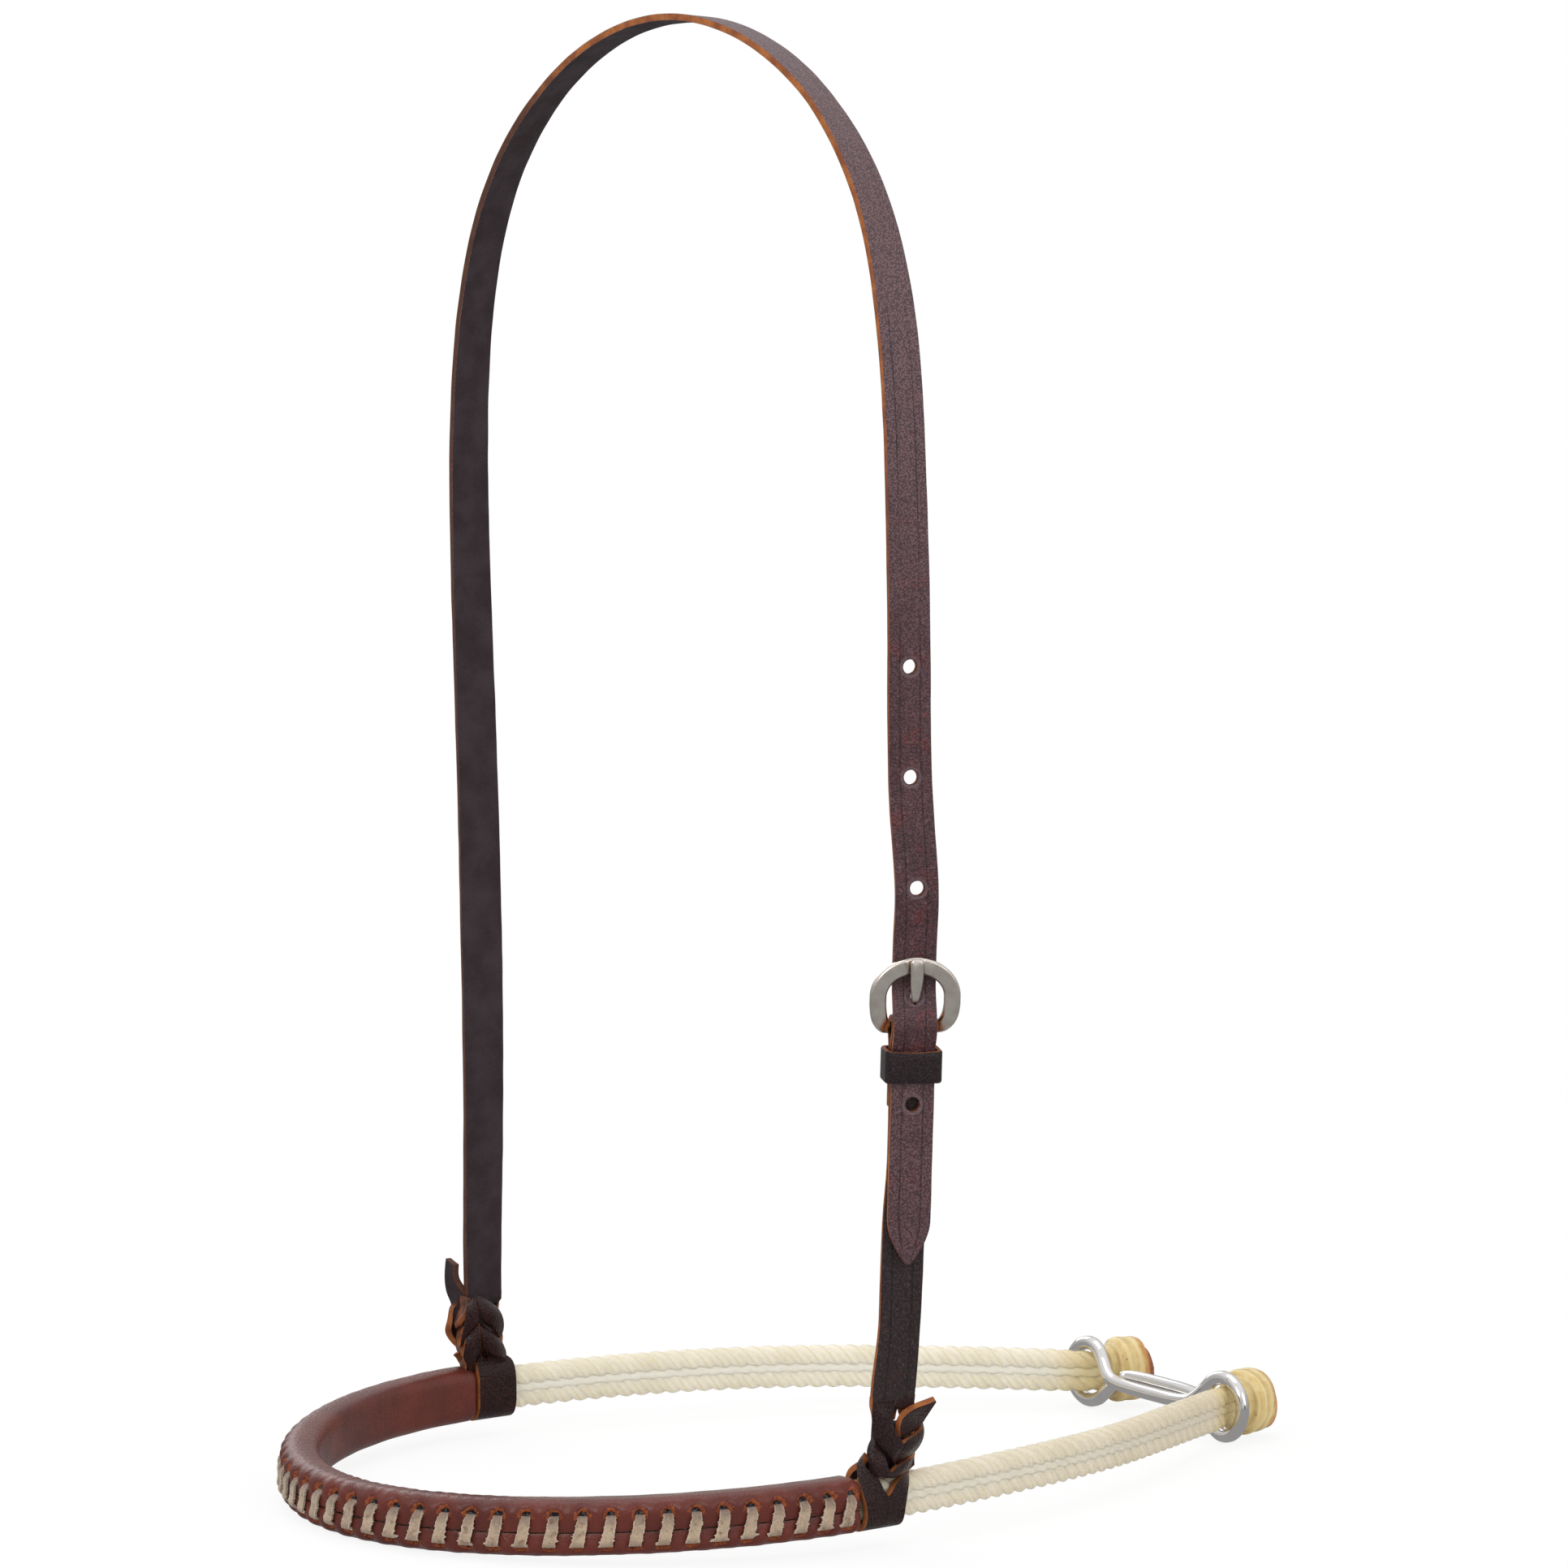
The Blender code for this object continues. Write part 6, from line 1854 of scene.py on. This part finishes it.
FAR_TAIL = [
    [(8.0, 7.3, 20.7), (7.5, 8.8, 20.3), (7.1, 10.3, 20.4)],
    [(7.7, 7.2, 22.9), (6.7, 9.2, 22.7), (5.8, 11.2, 22.8)],
    [(5.2, 6.6, 26.4), (5.4, 9.4, 25.8), (5.6, 12.1, 25.2)],
    [(5.0, 6.4, 29.5), (5.8, 9.8, 29.0), (6.8, 13.1, 28.7)],
    [(6.9, 7.5, 33.4), (6.8, 10.5, 33.3), (7.1, 13.4, 33.8)],
    [(7.2, 7.5, 38.0), (7.1, 10.0, 38.6), (6.9, 12.5, 39.2)],
]
print("nets of the knots are set")

# %% [markdown]
# The band round the ropes is the same sheet carried on: down the front, under the ropes and up
# behind them. Its front rim is the lowest V. The front folds start in the strap's own grain
# side, so that the knot grows out of the strap without a step.

# %% The band round both ropes
WRAP_HALF = 6.9
WRAP_LOOP = [
    (5.45, -3.2, 1.0), (4.1, -6.9, 1.0), (0.0, -8.6, 1.0), (-4.1, -6.9, 1.0), (-5.45, -3.2, 1.0),
    (-5.45, 2.0, 1.0), (-4.9, 6.6, 1.0), (-3.4, 9.6, 0.92), (-2.0, 11.6, 0.55), (-1.0, 13.4, 0.40),
]
SUNK_IN_STRAP = 0.02


def wrap_net(low, high):
    """The front rim, then the loop round the ropes, for a band from low to high along the rope."""
    rows = []
    for row in WRAP_RIM:
        rows.append([(low + (high - low) * (a + WRAP_HALF) / (2 * WRAP_HALF), o, u) for a, o, u in row])
    shares = np.linspace(0.0, 1.0, 9)
    for out, up, width in WRAP_LOOP:
        rows.append([(low + (high - low) * (0.5 + (share - 0.5) * width), out, up) for share in shares])
    return rows


def strap_rows(ribbon, distances, low, high, sign, flare):
    """Rows across part of the strap's grain side, where a knot's fold grows out of it."""
    shares = np.linspace(low, high, 3)
    asides = sign * (STRAP_WIDTH * shares + flare * 2 * np.minimum(0.0, shares))
    rows = []
    for distance in distances:
        middle, ahead, side, grain_side = ribbon.frame(distance)
        front = middle + grain_side * (STRAP_THICKNESS / 2 - SUNK_IN_STRAP)
        rows.append([front + side * aside for aside in asides])
    return rows


print("rows of the band", len(wrap_net(-WRAP_HALF, WRAP_HALF)))

# %% Both bleed knots
BACK_FOLDS = [
    ("back_upper", BACK_UPPER, 14, 24),
    ("back_arm", BACK_ARM, 10, 28),
    ("back_low_arm", BACK_LOW_ARM, 10, 24),
    ("back_lower", BACK_LOWER, 18, 24),
]
FAR_SIDE = [
    ("side_twist", SIDE_TWIST, 8, 24),
    ("side_middle", SIDE_MIDDLE, 8, 24),
    ("side_lower", SIDE_LOWER, 8, 24),
]
NEAR_BAND = (-WRAP_HALF, WRAP_HALF)
FAR_BAND = (-4.6, 8.6)
NEAR_BACK = (3.2, 1.5)
FAR_BACK = (0.0, 0.0)
JOINT_STEPS = (-1.6, -0.6, 0.6)


def tie_knot(name, hanger, ribbon, distances, sign, flare, tail, band, back_shift, layers=()):
    """Folds one knot; the ribbon joins it at the distances, and the band runs between two ends."""
    left_rows = strap_rows(ribbon, distances, -0.5, -0.02, sign, flare)
    right_rows = strap_rows(ribbon, distances, 0.0, 0.5, sign, flare)
    parts = [
        knot_sheet(hanger, "front_left", FRONT_LEFT, 8, 40, first_rows=left_rows),
        knot_sheet(hanger, "front_right", FRONT_RIGHT, 8, 40, first_rows=right_rows),
        knot_sheet(hanger, "middle_fold", MIDDLE_FOLD, 36, 18),
        knot_sheet(hanger, "tail", tail, 8, 28),
    ]
    parts += [knot_sheet(hanger, *fold, back_shift=back_shift) for fold in BACK_FOLDS]
    parts.append(knot_sheet(hanger, "wrap", wrap_net(*band), 36, 60))
    parts.append(knot_sheet(hanger, "core", KNOT_CORE, 6, 16, leather=INSIDE_LEATHER))
    parts += [knot_sheet(hanger, *layer, leather=TWISTED_LEATHER) for layer in layers]
    finish_piece(join(name, parts), "root", (), STRAP_SMOOTH_DEG)


near_joint = [cheek_stop + step for step in JOINT_STEPS]
far_joint = [CROWN_START - step for step in JOINT_STEPS]
tie_knot("near_knot", HANGER_ALONG_ROPE, cheek, near_joint, 1.0, CHEEK_FLARE, TAIL, NEAR_BAND, NEAR_BACK)
tie_knot("far_knot", -HANGER_ALONG_ROPE, crown, far_joint, -1.0, 0.0, FAR_TAIL, FAR_BAND, FAR_BACK, FAR_SIDE)

# %% [markdown]
# ## Buckle
# The rim is a flat bar bent to a horseshoe, with its corners taken off, and it is drawn in to a
# round bar that the strap folds over. A tube whose section changes on the way round gives that,
# and a Bevel softens the corners so that they catch the light. The rim has a shallow notch for
# the tongue.

# %% The rim's middle line
FRAME_WIDTH = 26.2
BAR_RADIUS = 1.5
RIM_THICKNESS = 2.4
RIM_LEVEL = CROWN_BEHIND_RIM + STRAP_THICKNESS / 2 + CLEARANCE + RIM_THICKNESS / 2
WIDEST_ABOVE_BAR = 9.6
ARCH_STEPS = 24
CORNER_POINTS = [
    (0.0, 0.0, 0.0, 1.0), (0.27, 0.6, 0.25, 0.5), (0.66, 2.2, 0.62, 0.15),
    (0.9, 4.6, 0.9, 0.0), (1.0, 7.6, 1.0, 0.0),
]


def rim_line():
    """Half of the rim's middle line: across, up, out, and how far it has turned to a round bar."""
    half_width = (FRAME_WIDTH - RIM_WIDTH) / 2
    bar_end = STRAP_WIDTH / 2 + 2 * CLEARANCE
    line = [(0.0, 0.0, BAR_LEVEL, 1.0), (bar_end * 0.6, 0.0, BAR_LEVEL, 1.0)]
    for across, height, out, turned in natural_spline(CORNER_POINTS, 20):
        level = BAR_LEVEL + (RIM_LEVEL - BAR_LEVEL) * out
        line.append((bar_end + (half_width - bar_end) * across, height, level, max(turned, 0.0)))
    for step in range(1, ARCH_STEPS + 1):
        angle = math.pi / 2 * step / ARCH_STEPS
        height = WIDEST_ABOVE_BAR + (RIM_TOP_HEIGHT - WIDEST_ABOVE_BAR) * math.sin(angle)
        line.append((half_width * math.cos(angle), height, RIM_LEVEL, 0.0))
    return line


half_rim = rim_line()
whole_rim = half_rim + [(-across, *rest) for across, *rest in reversed(half_rim[1:-1])]
print("points round the rim", len(whole_rim))

# %% Buckle rim and bar
FLAT_RIM = np.array((RIM_WIDTH / 2, RIM_THICKNESS / 2, 0.6))
ROUND_BAR = np.array((BAR_RADIUS, BAR_RADIUS, BAR_RADIUS * (2 - math.sqrt(2))))
NOTCH_DEPTH = 0.8
NOTCH_REACH = 2.5
STEEL_SMOOTH_DEG = 40.0


def rim_section(turned):
    """Half width, half thickness and corner cut go from the flat rim's to the round bar's."""
    half, thick, cut = FLAT_RIM + (ROUND_BAR - FLAT_RIM) * turned
    return [
        (half, -thick + cut), (half, thick - cut), (half - cut, thick), (-half + cut, thick),
        (-half, thick - cut), (-half, -thick + cut), (-half + cut, -thick), (half - cut, -thick),
    ]


def rim_at(around, along):
    count = len(whole_rim)
    index = round(along * count) % count
    across, height, out, turned = whole_rim[index]
    before, here, after = (np.array(whole_rim[(index + shift) % count][:3]) for shift in (-1, 0, 1))
    lead = unit(unit(here - before) + unit(after - here))
    travel = seat.side * lead[0] + seat.rise * lead[1] + seat.face * lead[2]
    wide = unit(np.cross(travel, seat.face))
    sideways, through = rim_section(turned)[round(around * 8) % 8]
    if through > 0 and height > RIM_TOP_HEIGHT - 3:
        through -= NOTCH_DEPTH * math.exp(-((across / NOTCH_REACH) ** 4))
    return seat.at(height, out, across) + wide * sideways + np.cross(wide, travel) * through


rim = laid_grid("buckle_rim", 8, len(whole_rim), rim_at)
close_tube(rim, False)
soften(rim, 0.22, 3)
give(rim, satin)
finish_piece(rim, "buckle", ["buckle_frame"], STEEL_SMOOTH_DEG)

# %% [markdown]
# ## Tongue
# A flat pin is curled round the bar, comes up through the strap's hole and lies in the rim's
# notch. It widens towards its end. The curl is a short ring, and the pin is a tube through a
# few stations with a bevelled flat section.

# %% Tongue and its curl
NOTCH_FLOOR = RIM_LEVEL + RIM_THICKNESS / 2 - NOTCH_DEPTH
CURL_WALL = 1.2
CURL_WIDTH = 3.2
CURL_MIDDLE = BAR_RADIUS + CLEARANCE + CURL_WALL / 2
PIN_THICKNESS = 1.6
PIN_ROWS = 48
PIN_TIP_SHARE = 0.06
PIN_END_WIDTH = 3.7
PIN_ARCH = 0.3
PIN_SHORT_OF_EDGE = 0.3
ON_RIM = NOTCH_FLOOR + CLEARANCE + PIN_THICKNESS / 2
THROUGH_HOLE = [(-3.4, -1.35, 1.9), (-2.3, -0.4, 2.0), (-1.2, 1.0, 2.15), (0.4, 2.0, 2.6), (2.6, 2.6, 3.2)]
PIN_SECTION = [
    (1.0, -0.5), (1.0, 0.5), (0.72, 1.0), (-0.72, 1.0),
    (-1.0, 0.5), (-1.0, -0.5), (-0.72, -1.0), (0.72, -1.0),
]
pin_stations = [
    (CURL_MIDDLE, BAR_LEVEL + CURL_MIDDLE / 2, CURL_WIDTH),
    *((TONGUE_HOLE + above_hole, out, width) for above_hole, out, width in THROUGH_HOLE),
    (RIM_TOP_HEIGHT - RIM_WIDTH / 2, ON_RIM + PIN_ARCH, PIN_END_WIDTH),
    (RIM_TOP_HEIGHT + RIM_WIDTH / 2 - PIN_SHORT_OF_EDGE, ON_RIM, PIN_END_WIDTH),
]
pin_line = natural_spline(pin_stations, PIN_ROWS + 1)


def pin_at(around, along):
    index = round(along * PIN_ROWS)
    height, out, width = pin_line[index]
    step = pin_line[min(index + 1, PIN_ROWS)] - pin_line[max(index - 1, 0)]
    travel = unit(seat.rise * step[0] + seat.face * step[1])
    wide, through = PIN_SECTION[round(around * 8) % 8]
    near_end = max(0.0, along - 1 + PIN_TIP_SHARE) / PIN_TIP_SHARE
    aside = seat.side * wide * width / 2 * (1 - 0.25 * near_end**2)
    deep = np.cross(travel, seat.side) * through * PIN_THICKNESS / 2 * (1 - 0.35 * near_end**2)
    return seat.at(height, out) + aside + deep


def curl_at(around, along):
    angle = 2 * math.pi * along
    wide, through = PIN_SECTION[round(around * 8) % 8]
    reach = CURL_MIDDLE + through * CURL_WALL / 2
    return seat.at(reach * math.sin(angle), BAR_LEVEL + reach * math.cos(angle), wide * CURL_WIDTH / 2)


pin = laid_grid("pin", 8, PIN_ROWS, pin_at)
close_tube(pin)
curl = laid_grid("curl", 8, 40, curl_at)
close_tube(curl, False)
pin = join("buckle_pin", [pin, curl])
soften(pin, 0.15, 2)
give(pin, satin)
finish_piece(pin, "tongue", ["buckle_tongue"], STEEL_SMOOTH_DEG)

# %% [markdown]
# ## Keeper
# A short loop of the same leather slides on the strap and holds its point down. It is a closed
# band, a little hollow on its front, and its cut edges show orange.

# %% The keeper's way round the straps
KEEPER_WALL = 1.5
KEEPER_CORNER = 1.3
KEEPER_STEPS = 96
KEEPER_ROOM = CLEARANCE + KEEPER_WALL / 2
keeper_half_width = STRAP_WIDTH / 2 + CLEARANCE + KEEPER_ROOM
keeper_front = CROWN_LAYER + STRAP_THICKNESS / 2 + KEEPER_ROOM
keeper_back = REAR_LAYER - STRAP_THICKNESS / 2 - KEEPER_ROOM
keeper_level = (keeper_front + keeper_back) / 2
keeper_half_depth = (keeper_front - keeper_back) / 2


def keeper_outline(count):
    """Points at even steps round the loop: across, and out from its middle."""
    corners = []
    for to_side, outwards, start in ((1, 1, 0), (-1, 1, 90), (-1, -1, 180), (1, -1, 270)):
        for step in range(7):
            angle = math.radians(start + 90 * step / 6)
            across = to_side * (keeper_half_width - KEEPER_CORNER) + KEEPER_CORNER * math.cos(angle)
            out = outwards * (keeper_half_depth - KEEPER_CORNER) + KEEPER_CORNER * math.sin(angle)
            corners.append((across, out))
    corners = np.array(corners + corners[:1])
    reach = reach_along(corners)
    spots = np.linspace(0.0, reach[-1], count, endpoint=False)
    print("round the keeper in mm", round(float(reach[-1]), 1))
    return np.array([[np.interp(spot, reach, column) for column in corners.T] for spot in spots])


keeper_line = keeper_outline(KEEPER_STEPS)

# %% Keeper loop
KEEPER_HEIGHT = 9.4
KEEPER_BELOW_BAR = 10.5
KEEPER_HOLLOW = 0.5
KEEPER_SECTION = [
    (0.5, -0.62), (0.5, 0.62), (0.44, 1.0), (0.2, 1.0), (-0.1, 1.0), (-0.3, 1.0), (-0.44, 1.0),
    (-0.5, 0.62), (-0.5, -0.62), (-0.44, -1.0), (0.44, -1.0),
]
CUT_FACES = 0.75


def keeper_at(around, along):
    index = round(along * KEEPER_STEPS) % KEEPER_STEPS
    across, out = keeper_line[index]
    travel = unit(keeper_line[(index + 1) % KEEPER_STEPS] - keeper_line[index - 1])
    spoke = seat.side * travel[1] - seat.face * travel[0]
    up_share, through = KEEPER_SECTION[round(around * 11) % 11]
    level = up_share * KEEPER_HEIGHT
    if out > keeper_half_depth - 0.3 and up_share > 0:
        level -= KEEPER_HOLLOW * (1 - (across / keeper_half_width) ** 2)
    middle = seat.at(-KEEPER_BELOW_BAR, keeper_level + out, across)
    return middle + seat.rise * level + spoke * through * KEEPER_WALL / 2


loop = laid_grid("keeper_leather", len(KEEPER_SECTION), KEEPER_STEPS, keeper_at)
close_tube(loop, False)
soften(loop, 0.15, 2)
give(loop, strap_grain("keeper_grain", RUNNER), cut_edge)
for face in loop.data.polygons:
    if abs(face.normal.dot(Vector(seat.rise))) > CUT_FACES:
        face.material_index = 1
finish_piece(loop, "keeper", ["keeper_loop"], 45.0)
